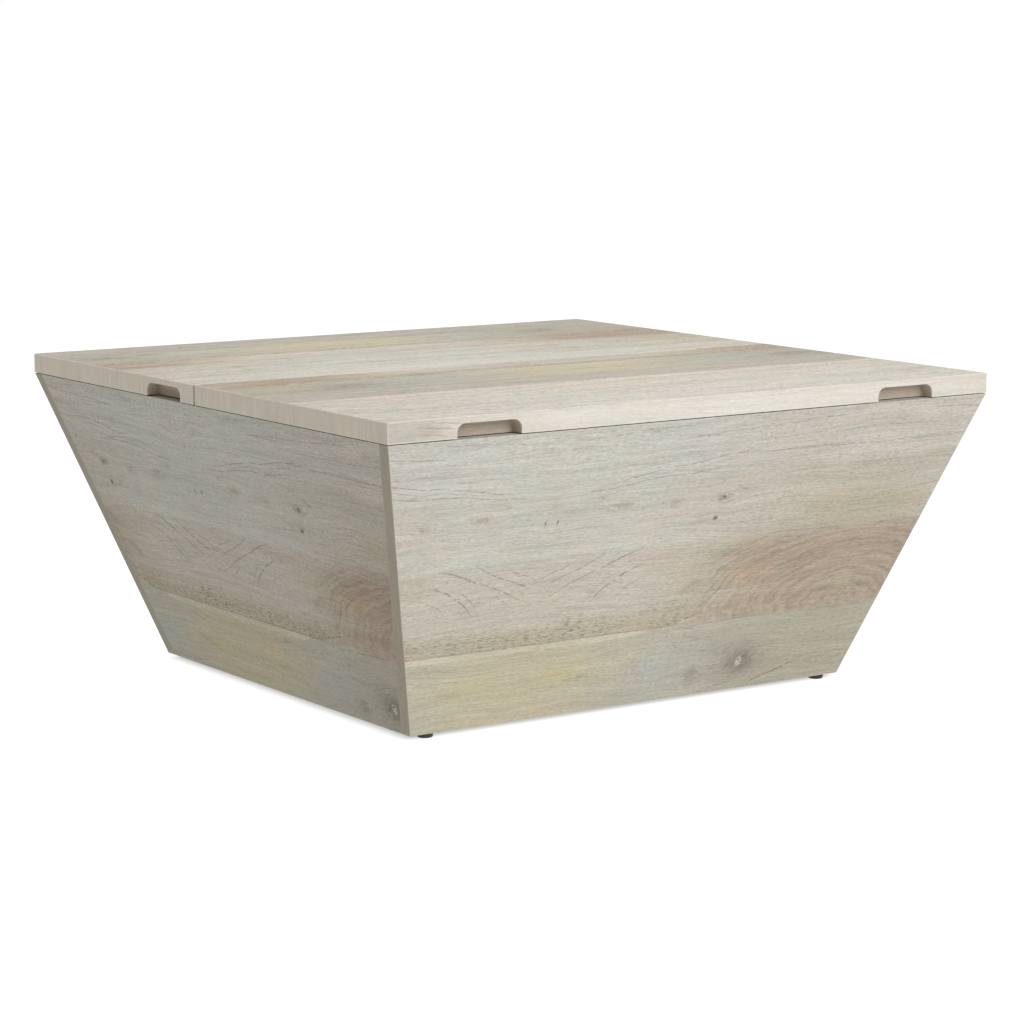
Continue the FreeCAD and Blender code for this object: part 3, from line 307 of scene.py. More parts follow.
@dataclass(frozen=True)
class GrowthLine:
    """A thin dark line from one place in the figure to another.

    Attributes:
        start: Its first place along and across.
        end: Its last place along and across.
        dark: How dark it is.
        width: Half its thickness.
        bow: Power of the share along it; below 1 it is steepest at its start.
    """

    start: Span
    end: Span
    dark: float
    width: float = 0.0012
    bow: float = 1.0


@dataclass(frozen=True)
class Patch:
    """A soft oval cast of colour: its place, half length, half width and tint."""

    along: float
    across: float
    length: float
    width: float
    tint: Colour


@dataclass(frozen=True)
class PlankTone:
    """One glued board of the figure.

    Attributes:
        start: Where it starts across.
        soft: How soft that edge is.
        stops: Its colours along it.
        blur: How much softer its edge is at the far end of the figure.
    """

    start: float
    soft: float
    stops: tuple[tuple[float, Colour], ...]
    blur: float = 0.0


@dataclass(frozen=True)
class Spot:
    """A point of the figure, in the node tree that draws it.

    Attributes:
        wiring: The tree's wiring.
        along: Place along the board.
        across: Place across the boards.
        place: Both, with the depth, as a vector.
    """

    wiring: Wiring
    along: Socket
    across: Socket
    place: Socket


@dataclass(frozen=True)
class Zone:
    """A soft-edged stretch of the figure: where it begins and ends across, and where it ends along."""

    rise: Span
    fall: Span
    run: Span

    def mask(self, spot: Spot) -> Socket:
        """1 within the zone and 0 outside it."""
        fade = spot.wiring.fade
        inside = spot.wiring.times(fade(spot.across, *self.rise), fade(spot.across, *self.fall))
        return spot.wiring.times(inside, fade(spot.along, *self.run))


@dataclass(frozen=True)
class Mottle:
    """Patches of two tints, by the mask of a noise."""

    noise: Noise
    low: Colour
    high: Colour

    def tint(self, wiring: Wiring, place: Socket, colour: Feed) -> Socket:
        """Lays the tints over a colour."""
        return wiring.shade(colour, wiring.blend(wiring.mask(place, self.noise), self.low, self.high))


@dataclass(frozen=True)
class KnotField:
    """The knots, and how the grain parts round them.

    Attributes:
        drift: How the grain wanders by itself, and nudge how far that moves the knots.
        rough: The roughness of their rims, whose mask breaks the filler into specks.
        bell: How many times its half size a knot bends the grain.
        ragged: How far the roughness moves a rim, as a share of the knot's half size.
        rim: Shares of the half size between which a knot darkens.
        filler: Half length and half width of the filler.
    """

    knots: tuple[Knot, ...] = (
        Knot(0.258, 0.115, 0.013, 0.0065, 0.32),
        Knot(0.260, 0.1145, 0.0028, 0.0022, 0.85),
        Knot(0.252, 0.144, 0.0045, 0.0035, 0.80),
        Knot(0.105, 0.111, 0.014, 0.005, 0.20),
        Knot(0.183, 0.117, 0.009, 0.0045, 0.18),
        Knot(0.009, 0.126, 0.0015, 0.0045, 0.75, 0.4),
        Knot(0.355, 0.366, 0.022, 0.017, 0.34, 0.8, 0.75),
        Knot(0.280, 0.376, 0.013, 0.011, 0.20, 0.7),
        Knot(0.035, 0.036, 0.040, 0.018, 0.03, 0.5),
        Knot(0.170, 0.350, 0.034, 0.022, 0.03, 0.5),
    )
    drift: Noise = Noise((3.0, 7.0, 7.0), 1.0, depth=0.050)
    nudge: float = 0.002
    rough: Noise = Noise((190.0, 260.0, 90.0), span=(0.38, 0.52))
    bell: float = 3.6
    ragged: float = 2.4
    rim: Span = (1.25, 0.15)
    filled_rim: Span = (1.9, 0.4)
    filled_ragged: float = 0.25
    filler: Span = (0.008, 0.011)
    filler_rim: Span = (0.95, 0.55)

    def flow(self, spot: Spot) -> tuple[Socket, Socket, Socket]:
        """Bends the grain round the knots.

        A point's place across the board is drawn towards each knot's middle by a share that falls off like a
        bell with distance, so the lines of grain part round the knot.

        Args:
            spot: The point.

        Returns:
            The bent place across, how dark the knots make the wood, and a mask of pale filler.
        """
        wiring = spot.wiring
        drift = wiring.swing(spot.place, self.drift)
        flow = wiring.scaled(drift, self.drift.depth, spot.across)
        rough = wiring.noise(spot.place, self.rough)
        along = wiring.scaled(drift, self.nudge, spot.along)
        across = wiring.scaled(drift, self.nudge, spot.across)
        dark = 0.0
        pale = 0.0
        for knot in self.knots:
            aside = wiring.minus(across, knot.across)
            far = wiring.minus(along, knot.along)
            distance = wiring.oval(far, aside, knot.length, knot.width)
            bell = wiring.fade(distance, self.bell, 0.0)
            flow = wiring.minus(flow, wiring.times(aside, wiring.times(bell, knot.bend)))
            ragged = wiring.ripple(rough, self.ragged, distance)
            core = (ragged, *self.rim)
            if knot.pale > 0.0:
                core = (wiring.scaled(ragged, self.filled_ragged, distance), *self.filled_rim)
                filler = wiring.scaled(ragged, self.filled_ragged, wiring.oval(far, aside, *self.filler))
                filler = wiring.fade(filler, *self.filler_rim)
                specks = wiring.times(wiring.fade(rough, *self.rough.span), filler)
                pale = wiring.scaled(specks, knot.pale, pale)
            dark = wiring.scaled(wiring.fade(*core), knot.dark, dark)
        return flow, dark, pale


@dataclass(frozen=True)
class Boards:
    """The glued boards, and the rough foot, pale strip and dark joint where the third one ends.

    Attributes:
        tones: The boards, from the rim down.
        cloud: How the colours shift along them, as a share of the figure's length.
        waver: How the joint bends, and the boards' edges by edge_waver and soft_waver times the softness.
        blur_run: Places along between which the edges grow softer.
    """

    tones: tuple[PlankTone, ...] = (
        PlankTone(0.000, 0.0, (
            (0.00, (0.595, 0.582, 0.512)),
            (0.40, (0.590, 0.578, 0.522)),
            (0.60, (0.588, 0.558, 0.490)),
            (1.00, (0.590, 0.552, 0.482)),
        )),
        PlankTone(0.081, 0.009, (
            (0.00, (0.578, 0.562, 0.490)),
            (0.25, (0.588, 0.574, 0.504)),
            (0.50, (0.565, 0.534, 0.460)),
            (1.00, (0.530, 0.488, 0.404)),
        )),
        PlankTone(0.178, 0.006, (
            (0.00, (0.572, 0.530, 0.455)),
            (0.30, (0.577, 0.537, 0.463)),
            (0.50, (0.545, 0.489, 0.399)),
            (0.66, (0.457, 0.383, 0.303)),
            (0.85, (0.436, 0.356, 0.283)),
            (1.00, (0.446, 0.372, 0.295)),
        ), 0.012),
        PlankTone(0.297, 0.0004, (
            (0.00, (0.548, 0.500, 0.362)),
            (0.18, (0.543, 0.498, 0.366)),
            (0.32, (0.496, 0.472, 0.386)),
            (0.50, (0.476, 0.460, 0.390)),
            (0.70, (0.452, 0.426, 0.347)),
            (1.00, (0.450, 0.418, 0.328)),
        ), 0.005),
        PlankTone(0.407, 0.001, (
            (0.00, (0.482, 0.446, 0.378)),
            (1.00, (0.474, 0.438, 0.371)),
        )),
        PlankTone(0.480, 0.0006, (
            (0.00, (0.640, 0.590, 0.508)),
            (0.60, (0.634, 0.588, 0.510)),
            (1.00, (0.600, 0.550, 0.465)),
        )),
        PlankTone(0.560, 0.006, (
            (0.00, (0.638, 0.610, 0.540)),
            (0.50, (0.622, 0.596, 0.530)),
            (1.00, (0.590, 0.552, 0.474)),
        )),
        PlankTone(0.655, 0.0006, (
            (0.00, (0.752, 0.716, 0.642)),
            (0.50, (0.738, 0.700, 0.626)),
            (0.85, (0.672, 0.633, 0.556)),
            (1.00, (0.562, 0.528, 0.460)),
        )),
    )
    cloud: Noise = Noise((9.0, 22.0, 12.0), 3.0, depth=0.40)
    waver: Noise = Noise((18.0, 30.0, 20.0), 3.0, depth=0.003)
    edge_waver: float = 0.0022
    soft_waver: float = 2.6
    blur_run: Span = (0.20, 0.30)
    foot_rise: Span = (0.258, 0.282)
    foot_run: Span = (0.30, 0.20)
    foot_tint: Colour = (0.905, 0.885, 0.810)
    strip_start: float = 0.2968
    strip_width: float = 0.0095
    strip_taper: Span = (0.207, 0.165)
    strip_edge: float = 0.0012
    strip_run: Span = (0.206, 0.200)
    strip_colour: Colour = (0.600, 0.556, 0.436)
    joint: float = 0.297
    joint_line: Span = (0.0014, 0.0002)
    joint_run: Span = (0.26, 0.17)
    joint_dark: float = 0.50
    joint_colour: Colour = (0.26, 0.19, 0.115)

    def colour(self, spot: Spot, length: float) -> tuple[Socket, Socket]:
        """Colours the glued boards.

        Args:
            spot: The point.
            length: Length of the figure.

        Returns:
            The colour, and a mask of the third board, which holds the arches.
        """
        wiring, along, across = spot.wiring, spot.along, spot.across
        share = wiring.rippled(spot.place, self.cloud, wiring.math("DIVIDE", along, length))
        waver = wiring.swing(spot.place, self.waver)
        colour = wiring.ramp(share, self.tones[0].stops)
        masks = []
        distant = wiring.fade(along, *self.blur_run)
        for board in self.tones[1:]:
            line = wiring.scaled(waver, self.edge_waver + self.soft_waver * board.soft, across)
            soft = wiring.scaled(distant, board.blur, board.soft)
            mask = wiring.fade(wiring.minus(line, board.start), wiring.times(soft, -1.0), soft)
            colour = wiring.blend(mask, colour, wiring.ramp(share, board.stops))
            masks.append(mask)
        third = wiring.minus(masks[1], masks[2])
        line = wiring.scaled(waver, self.waver.depth, across)
        foot = wiring.times(wiring.fade(line, *self.foot_rise), third, wiring.fade(along, *self.foot_run))
        colour = wiring.blend(foot, colour, self.foot_tint, "MULTIPLY")
        lower = wiring.scaled(wiring.fade(along, *self.strip_taper), self.strip_width, self.strip_start)
        strip = wiring.fade(line, lower, wiring.minus(lower, self.strip_edge))
        strip = wiring.times(masks[2], strip, wiring.fade(along, *self.strip_run))
        colour = wiring.blend(strip, colour, self.strip_colour)
        joint = wiring.fade(wiring.math("ABSOLUTE", wiring.minus(line, self.joint)), *self.joint_line)
        joint = wiring.times(joint, wiring.fade(along, *self.joint_run), self.joint_dark)
        return wiring.blend(joint, colour, self.joint_colour), third


@dataclass(frozen=True)
class Casts:
    """Soft casts of colour over the boards, and the shares of their half size between which they show."""

    patches: tuple[Patch, ...] = (
        Patch(0.205, 0.045, 0.040, 0.016, (0.985, 0.988, 1.015)),
        Patch(0.450, 0.150, 0.090, 0.036, (0.960, 0.935, 0.860)),
        Patch(0.497, 0.262, 0.030, 0.016, (1.030, 1.080, 1.000)),
        Patch(0.330, 0.232, 0.060, 0.022, (1.080, 1.030, 0.960)),
        Patch(0.350, 0.355, 0.070, 0.034, (0.925, 0.930, 0.960)),
        Patch(0.210, 0.362, 0.070, 0.036, (0.985, 1.010, 1.060)),
        Patch(0.060, 0.350, 0.050, 0.024, (1.040, 1.030, 0.960)),
        Patch(0.000, 0.500, 0.030, 0.012, (1.000, 0.940, 0.860)),
        Patch(0.497, 0.020, 0.080, 0.018, (0.980, 0.960, 0.940)),
        Patch(0.452, 0.682, 0.022, 0.012, (0.900, 0.890, 0.870)),
        Patch(0.410, 0.674, 0.020, 0.008, (1.015, 0.990, 0.905)),
        Patch(0.105, 0.111, 0.030, 0.011, (0.955, 0.935, 0.905)),
        Patch(0.183, 0.117, 0.024, 0.010, (0.960, 0.945, 0.920)),
        Patch(0.258, 0.1145, 0.024, 0.013, (0.900, 0.888, 0.866)),
        Patch(0.252, 0.144, 0.019, 0.014, (0.900, 0.888, 0.866)),
        Patch(0.352, 0.362, 0.070, 0.042, (0.895, 0.898, 0.905)),
        Patch(0.280, 0.378, 0.028, 0.019, (0.925, 0.925, 0.930)),
    )
    rim: Span = (1.0, 0.2)

    def tint(self, spot: Spot, colour: Socket) -> Socket:
        """Lays the casts over the boards.

        Args:
            spot: The point.
            colour: The boards' colour.

        Returns:
            The tinted colour.
        """
        wiring = spot.wiring
        for patch in self.patches:
            far = wiring.minus(spot.along, patch.along)
            aside = wiring.minus(spot.across, patch.across)
            share = wiring.fade(wiring.oval(far, aside, patch.length, patch.width), *self.rim)
            colour = wiring.blend(share, colour, patch.tint, "MULTIPLY")
        return colour


@dataclass(frozen=True)
class LineField:
    """The growth lines.

    Attributes:
        lead: How far before its start a line begins to show.
        swell: How far past its start it shows fully, and how far before and after its end it fades.
    """

    lines: tuple[GrowthLine, ...] = (
        GrowthLine((0.060, 0.080), (0.280, 0.051), 0.50),
        GrowthLine((0.110, 0.079), (0.270, 0.060), 0.30),
        GrowthLine((0.040, 0.088), (0.250, 0.071), 0.48),
        GrowthLine((0.260, 0.053), (0.497, 0.057), 0.40),
        GrowthLine((0.180, 0.025), (0.420, 0.013), 0.40),
        GrowthLine((0.300, 0.038), (0.497, 0.033), 0.30),
        GrowthLine((0.330, 0.090), (0.497, 0.082), 0.30),
        GrowthLine((0.010, 0.016), (0.190, 0.006), 0.34),
        GrowthLine((0.375, 0.401), (0.450, 0.378), 0.80),
        GrowthLine((0.295, 0.404), (0.345, 0.396), 0.55),
        GrowthLine((0.190, 0.299), (0.300, 0.279), 0.45),
        GrowthLine((0.230, 0.303), (0.370, 0.296), 0.35),
        GrowthLine((0.040, 0.219), (0.142, 0.178), 0.50, 0.0019),
        GrowthLine((0.000, 0.240), (0.050, 0.215), 0.28, 0.0018),
        GrowthLine((0.010, 0.214), (0.092, 0.179), 0.46, 0.0019),
        GrowthLine((0.000, 0.205), (0.048, 0.184), 0.36, 0.0017),
        GrowthLine((0.084, 0.254), (0.152, 0.199), 0.55, 0.0020, 0.6),
        GrowthLine((0.075, 0.252), (0.110, 0.211), 0.40, 0.0018, 0.6),
        GrowthLine((0.030, 0.240), (0.056, 0.222), 0.42, 0.0020),
        GrowthLine((0.120, 0.250), (0.175, 0.212), 0.28, 0.0017, 0.6),
        GrowthLine((0.425, 0.672), (0.470, 0.677), 0.40, 0.0012),
        GrowthLine((0.415, 0.682), (0.465, 0.683), 0.45, 0.0014),
        GrowthLine((0.410, 0.687), (0.455, 0.690), 0.35, 0.0014),
    )
    breaks: Noise = Noise((120.0, 240.0, 60.0), span=(0.36, 0.52))
    lead: float = 0.01
    swell: float = 0.02

    def draw(self, spot: Spot) -> Socket:
        """Draws the growth lines, each broken on its way from its start to its end.

        Args:
            spot: The point.

        Returns:
            How dark they make the wood.
        """
        wiring, along = spot.wiring, spot.along
        broken = wiring.mask(spot.place, self.breaks)
        total = 0.0
        for line in self.lines:
            (first, above), (last, below) = line.start, line.end
            bowed = wiring.math("POWER", wiring.rise(along, first, last), line.bow)
            path = wiring.scaled(bowed, below - above, above)
            stroke = wiring.fade(wiring.math("ABSOLUTE", wiring.minus(spot.across, path)), line.width, 0.0)
            begun = wiring.fade(along, first - self.lead, first + self.swell)
            stretch = wiring.times(begun, wiring.fade(along, last + self.swell, last - self.swell))
            total = wiring.scaled(wiring.times(stroke, wiring.times(stretch, broken)), line.dark, total)
        return total


@dataclass(frozen=True)
class Arches:
    """Nested arches where the third board was sawn near the heart.

    Attributes:
        along, across: Their centre.
        squash: How many times longer than wide they are.
        run: Places along the board between which they begin to show.
        bands: The broad bands, in waves per metre outwards and per radian round the centre.
        strokes: Where the thin lines show, in the same measure.
        spacing, line: Distance from line to line, and half their thickness.
        crown: Squashed distances below the centre between which the lines end.
    """

    along: float = 0.497
    across: float = 0.283
    squash: float = 2.20
    wobble: Noise = Noise((14.0, 30.0, 30.0), 3.0, depth=0.034)
    run: Span = (0.235, 0.290)
    bands: Noise = Noise((88.0, 1.1, 0.0), 3.0, 0.65, depth=0.80)
    strokes: Noise = Noise((88.0, 1.6, 0.0), 1.0, span=(0.40, 0.62))
    breaks: Noise = Noise((130.0, 260.0, 60.0), span=(0.34, 0.54))
    spacing: float = 0.014
    line: float = 0.0016
    crown: Span = (0.030, 0.0)
    dark: float = 0.40

    def draw(self, spot: Spot, board: Socket) -> tuple[Socket, Socket]:
        """Draws the arches as noise stretched along ellipses.

        A point's squashed distance from the centre and its angle take the place of the across and along
        coordinates, so the streaks run round the centre.

        Args:
            spot: The point.
            board: Mask of the board that has them.

        Returns:
            How much lighter or darker the bands are, and how dark the lines make the wood.
        """
        wiring = spot.wiring
        wobble = wiring.swing(spot.place, self.wobble)
        broken = wiring.mask(spot.place, self.breaks)
        far = wiring.minus(spot.along, self.along)
        aside = wiring.times(wiring.minus(spot.across, self.across), self.squash)
        reach = wiring.vector("LENGTH", wiring.join(far, aside, 0.0))
        reach = wiring.scaled(wobble, self.wobble.depth, reach)
        polar = wiring.join(reach, wiring.math("ARCTAN2", aside, far), 0.0)
        region = wiring.times(wiring.fade(spot.along, *self.run), board)
        shade = wiring.times(wiring.swing(polar, self.bands), self.bands.depth, region)
        strokes = wiring.fade(wiring.math("PINGPONG", reach, self.spacing / 2), self.line, 0.0)
        strokes = wiring.times(strokes, wiring.times(wiring.mask(polar, self.strokes), broken))
        above = wiring.fade(aside, *self.crown)
        return shade, wiring.times(strokes, wiring.times(above, self.dark), region)


@dataclass(frozen=True)
class Rings:
    """Faint growth rings all over the boards.

    Attributes:
        level: Smooth noise whose level lines the rings are.
        step, line: How much it rises from ring to ring, and over half a ring's thickness.
    """

    level: Noise = Noise((1.3, 15.0, 9.0), 2.0, 0.45)
    step: float = 0.034
    line: float = 0.0045
    patches: Noise = Noise((9.0, 60.0, 30.0), span=(0.42, 0.66))
    dark: float = 0.22

    def draw(self, spot: Spot, grain: Socket) -> Socket:
        """Draws the growth rings as level lines of a smooth noise that is stretched far along the grain.

        Args:
            spot: The point.
            grain: Its place in the bent grain.

        Returns:
            How dark they make the wood.
        """
        wiring = spot.wiring
        gap = wiring.math("PINGPONG", wiring.noise(grain, self.level), self.step / 2)
        stroke = wiring.fade(gap, self.line, 0.0)
        return wiring.times(stroke, wiring.mask(spot.place, self.patches), self.dark)


@dataclass(frozen=True)
class Pores:
    """Short dark pores along the grain, in patches, and crowded in some places.

    Attributes:
        dashes: Noise whose peaks the pores are.
        foot, band: Parts of the third board where they crowd.
        foot_dark: How much darker they are at the foot, per unit of crowding.
        far_run: Places along between which they crowd towards the far end.
        rim: Value of the dashes where a pore begins, and rim_soft how much more makes it full.
    """

    dashes: Noise = Noise((105.0, 950.0, 600.0), 1.0)
    patches: Noise = Noise((11.0, 30.0, 20.0), depth=0.16)
    foot: Zone = Zone((0.250, 0.285), (0.300, 0.296), (0.30, 0.22))
    foot_crowd: float = 0.11
    foot_dark: float = 1.8
    far_run: Span = (0.12, 0.34)
    far_crowd: float = 0.035
    band: Zone = Zone((0.176, 0.190), (0.262, 0.235), (0.190, 0.150))
    band_crowd: float = 0.030
    rim: float = 0.645
    rim_soft: float = 0.09
    dark: float = 0.36

    def draw(self, spot: Spot, grain: Socket) -> Socket:
        """Draws the pores as the peaks of a noise that is stretched along the grain.

        Args:
            spot: The point.
            grain: Its place in the bent grain.

        Returns:
            How dark they make the wood.
        """
        wiring = spot.wiring
        dashes = wiring.noise(grain, self.dashes)
        patches = wiring.noise(grain, self.patches)
        foot = wiring.times(self.foot.mask(spot), self.foot_crowd)
        crowd = wiring.scaled(wiring.fade(spot.along, *self.far_run), self.far_crowd, foot)
        crowd = wiring.scaled(self.band.mask(spot), self.band_crowd, crowd)
        rim = wiring.minus(self.rim, wiring.ripple(patches, self.patches.depth, crowd))
        dark = wiring.scaled(foot, self.foot_dark, self.dark)
        return wiring.times(wiring.fade(dashes, rim, wiring.plus(rim, self.rim_soft)), dark)


@dataclass(frozen=True)
class PlankFigure:
    """The wood's figure: glued boards with arches, knots, streaks and pores, in metres along and across.

    Attributes:
        half_length: Length of the figure, from the place where it mirrors itself.
        streak, strand, fibre: Ever finer grain.
        sway: How casts and lines bend.
        edge_zone: Places across between which the lids' plainer edge board begins.
        edge_plain: How much of the pores and rings it lacks, and edge_calm how much of the grain.
        darkest: The most that lines, pores and knots darken the wood.
    """

    half_length: float = 0.497
    boards: Boards = Boards()
    casts: Casts = Casts()
    knots: KnotField = KnotField()
    lines: LineField = LineField()
    arches: Arches = Arches()
    rings: Rings = Rings()
    pores: Pores = Pores()
    broad: Mottle = Mottle(
        Noise((2.2, 46.0, 16.0), 3.0, 0.6, span=(0.32, 0.68)), (0.955, 0.952, 0.950), (1.042, 1.042, 1.040))
    blotch: Mottle = Mottle(
        Noise((16.0, 34.0, 20.0), span=(0.34, 0.66)), (0.980, 0.998, 0.998), (1.022, 0.998, 0.990))
    streak: Noise = Noise((4.0, 170.0, 130.0), 3.0, 0.6, depth=0.36)
    strand: Noise = Noise((26.0, 560.0, 380.0), 2.0, 0.6, depth=0.46)
    fibre: Noise = Noise((135.0, 720.0, 620.0), 2.0, 0.7, depth=0.78)
    sway: Noise = Noise((14.0, 20.0, 20.0), depth=0.010)
    edge_zone: Span = (0.652, 0.657)
    edge_plain: float = 0.7
    edge_calm: float = 0.6
    darkest: float = 0.8
    shadow_colour: Colour = (0.130, 0.098, 0.066)
    filler_colour: Colour = (0.640, 0.625, 0.570)
    fibre_relief: float = 0.4
    strand_relief: float = 0.6
    shadow_relief: float = 0.8
    pore_satin: float = 0.3

    def build(self) -> NodeTree:
        """Builds the figure as a node group.

        Returns:
            A group that turns places along, across and into a board into colour, height and gloss.
        """
        wiring, inputs, exit_node = new_group(
            "plank_figure",
            ("Along", "Across", "Depth", "Run", "Vigour", "Knots"),
            (("Color", "NodeSocketColor"), ("Height", "NodeSocketFloat"), ("Satin", "NodeSocketFloat")),
        )
        along, across, depth = inputs["Along"], inputs["Across"], inputs["Depth"]
        spot = Spot(wiring, along, across, wiring.join(along, across, depth))
        flow, dark, pale = self.knots.flow(spot)
        grain = wiring.join(along, flow, depth)
        loose = wiring.join(inputs["Run"], flow, depth)
        colour, third_board = self.boards.colour(spot, self.half_length)
        streak = wiring.noise(loose, self.streak)
        strand = wiring.noise(loose, self.strand)
        fibre = wiring.noise(loose, self.fibre)
        arch_shade, arch_lines = self.arches.draw(spot, third_board)
        pores = self.pores.draw(spot, loose)
        colour = self.broad.tint(wiring, grain, colour)
        colour = self.blotch.tint(wiring, grain, colour)
        sway = wiring.swing(spot.place, self.sway)
        swayed = wiring.scaled(sway, self.sway.depth, along)
        leaned = wiring.scaled(sway, self.sway.depth, across)
        bent = Spot(wiring, swayed, leaned, spot.place)
        colour = self.casts.tint(bent, colour)
        light = wiring.ripple(streak, self.streak.depth)
        light = wiring.ripple(strand, self.strand.depth, light)
        light = wiring.ripple(fibre, self.fibre.depth, light)
        lively = wiring.times(wiring.minus(light, 1.0), inputs["Vigour"])
        light = wiring.plus(wiring.plus(lively, 1.0), arch_shade)
        edge = wiring.fade(across, *self.edge_zone)
        plain = wiring.scaled(edge, -self.edge_plain, 1.0)
        calm = wiring.scaled(wiring.minus(1.0, light), self.edge_calm, light)
        colour = wiring.shade(colour, wiring.between(edge, light, calm))
        pores = wiring.times(pores, plain)
        shadow = wiring.plus(pores, arch_lines)
        shadow = wiring.plus(shadow, self.lines.draw(bent))
        shadow = wiring.scaled(self.rings.draw(spot, grain), plain, shadow)
        shadow = wiring.scaled(dark, inputs["Knots"], shadow)
        colour = wiring.blend(wiring.math("MINIMUM", shadow, self.darkest), colour, self.shadow_colour)
        colour = wiring.blend(wiring.times(pale, inputs["Knots"]), colour, self.filler_colour)
        wiring.feed(exit_node.inputs["Color"], colour)
        relief = wiring.scaled(fibre, self.fibre_relief, wiring.times(strand, self.strand_relief))
        relief = wiring.minus(relief, wiring.times(shadow, self.shadow_relief))
        wiring.feed(exit_node.inputs["Height"], relief)
        wiring.feed(exit_node.inputs["Satin"], wiring.scaled(pores, self.pore_satin, streak))
        return wiring.tree


@dataclass(frozen=True)
class Lay:
    """How a board lies in space and which part of the figure it shows.

    Attributes:
        origin: The point where the figure starts across.
        along: Direction of the grain.
        across: Direction across the boards.
        fold: Place along the board where the figure mirrors itself.
        spread: Pairs of a place across the board and the place across the figure that it shows.
    """

    origin: Point
    along: Point
    across: Point
    fold: float
    spread: tuple[Span, ...] = ((0.0, 0.0), (1.0, 1.0))


@dataclass(frozen=True)
class WoodFinish:
    """Whitewashed, satin-lacquered wood that shows one stretch of the figure.

    Attributes:
        name: The material's name.
        lay: How the board lies.
        end_reach: Distance of the board's ends from its middle.
        width: Where the board starts and stops across.
        thick: The board's thickness.
        end_lean: How far the ends move out per metre of height.
        end_foot: Height from which that is counted.
        end_colour: Colour of the end grain.
        shade: How much lighter or darker this board is painted; below 1 on the left panel, as painted shade
            for the side that the lamps light least.
        foot_light: Painted light: how much lighter a panel is painted towards its foot, for light from the
            floor, and foot_light_run where it changes.
        vigour: How strongly its grain shows.
        knots: How strongly its knots show.
        edge_highlight: How strongly its arrises are paled, as a painted highlight.
        edge_board: Place across the figure that a lid's edges and notches show, or None.
        notch_shade_tint: Painted shade: how much darker the notches' walls are painted than the lid's edge.
        seam_shade_tint: Painted shade: how much darker the outer edge of the seam between the lids is
            painted, for the shade in the gap.
        top_skin, under_skin, notch_skin, seam_skin, mouth_skin, end_skin: Distances between which a lid's
            top, underside and outer edges, the seam, its outer edge and the end grain change over.
    """

    name: str
    lay: Lay
    end_reach: float
    width: Span
    thick: float
    end_lean: float = 0.0
    end_foot: float = 0.0
    end_colour: Colour = (0.735, 0.668, 0.568)
    shade: float = 1.0
    foot_light: float = 0.0
    foot_light_run: Span = (0.13, 0.34)
    vigour: float = 1.0
    knots: float = 1.0
    edge_highlight: float = 0.55
    edge_highlight_colour: Colour = (0.780, 0.740, 0.660)
    edge_board: float | None = None
    notch_shade_tint: Colour = (0.80, 0.74, 0.69)
    seam_shade_tint: Colour = (0.16, 0.14, 0.12)
    top_skin: Span = (0.0012, 0.0020)
    under_skin: Span = (0.0003, 0.0006)
    notch_skin: Span = (0.0012, 0.0030)
    seam_skin: Span = (0.0005, 0.0002)
    mouth_skin: Span = (0.0020, 0.0010)
    end_skin: Span = (0.0009, 0.0003)
    end_streaks: Noise = Noise((210.0, 210.0, 22.0), 3.0, depth=0.30)
    end_clouds: Mottle = Mottle(
        Noise((60.0, 60.0, 14.0), span=(0.36, 0.64)), (0.965, 0.985, 0.970), (1.035, 1.005, 0.990))
    roughness: float = 0.50
    satin: float = 0.16
    mirror: float = 0.008
    relief: float = 0.35
    relief_height: float = 0.0006

    def build(self, figure: NodeTree, arris: NodeTree, length: float) -> bpy.types.Material:
        """Builds the material.

        Args:
            figure: The figure's node group.
            arris: The node group that finds the boards' edges.
            length: Length of the figure.

        Returns:
            The finished material.
        """
        material, wiring, shader, coordinates = new_material(self.name)
        run, across, depth = self.board_place(wiring, coordinates)
        fold = wiring.math("PINGPONG", wiring.minus(run, self.lay.fold), length)
        shown = self.spread_across(wiring, across)
        deep = wiring.math("ABSOLUTE", depth)
        below = wiring.minus(self.thick, deep)
        if self.edge_board is not None:
            edges = wiring.times(wiring.fade(below, *self.top_skin), wiring.fade(deep, *self.under_skin))
            shown = wiring.between(edges, shown, wiring.plus(deep, self.edge_board))
        inputs = {"Along": fold, "Across": shown, "Depth": depth, "Run": run}
        inputs |= {"Vigour": self.vigour, "Knots": self.knots}
        plank = wiring.add("ShaderNodeGroup", inputs, node_tree=figure).outputs
        inside = self.end_distance(wiring, coordinates)
        # Painted light: a panel is painted lighter towards its foot, and the board's shade factor paints the
        # left panel darker.
        painted_light_and_shade = wiring.scaled(wiring.fade(across, *self.foot_light_run), self.foot_light, self.shade)
        colour = self.end_grain(wiring, coordinates, inside, wiring.shade(plank["Color"], painted_light_and_shade))
        start = wiring.minus(across, self.width[0])
        sides = wiring.math("MINIMUM", start, wiring.minus(self.width[1], across))
        if self.edge_board is not None:
            # Painted shade: the walls inside the notches are darkened.
            notch = wiring.fade(wiring.math("MINIMUM", sides, inside), *self.notch_skin)
            colour = wiring.blend(wiring.times(edges, notch), colour, self.notch_shade_tint, "MULTIPLY")
        faces = wiring.math("MINIMUM", deep, below)
        inputs = {"Ends": inside, "Sides": sides, "Faces": faces, "Run": run}
        highlighted = wiring.add("ShaderNodeGroup", inputs, node_tree=arris).outputs["Mask"]
        # Painted highlight: the colour is paled along the boards' arrises.
        colour = wiring.blend(wiring.times(highlighted, self.edge_highlight), colour, self.edge_highlight_colour)
        if self.edge_board is not None:
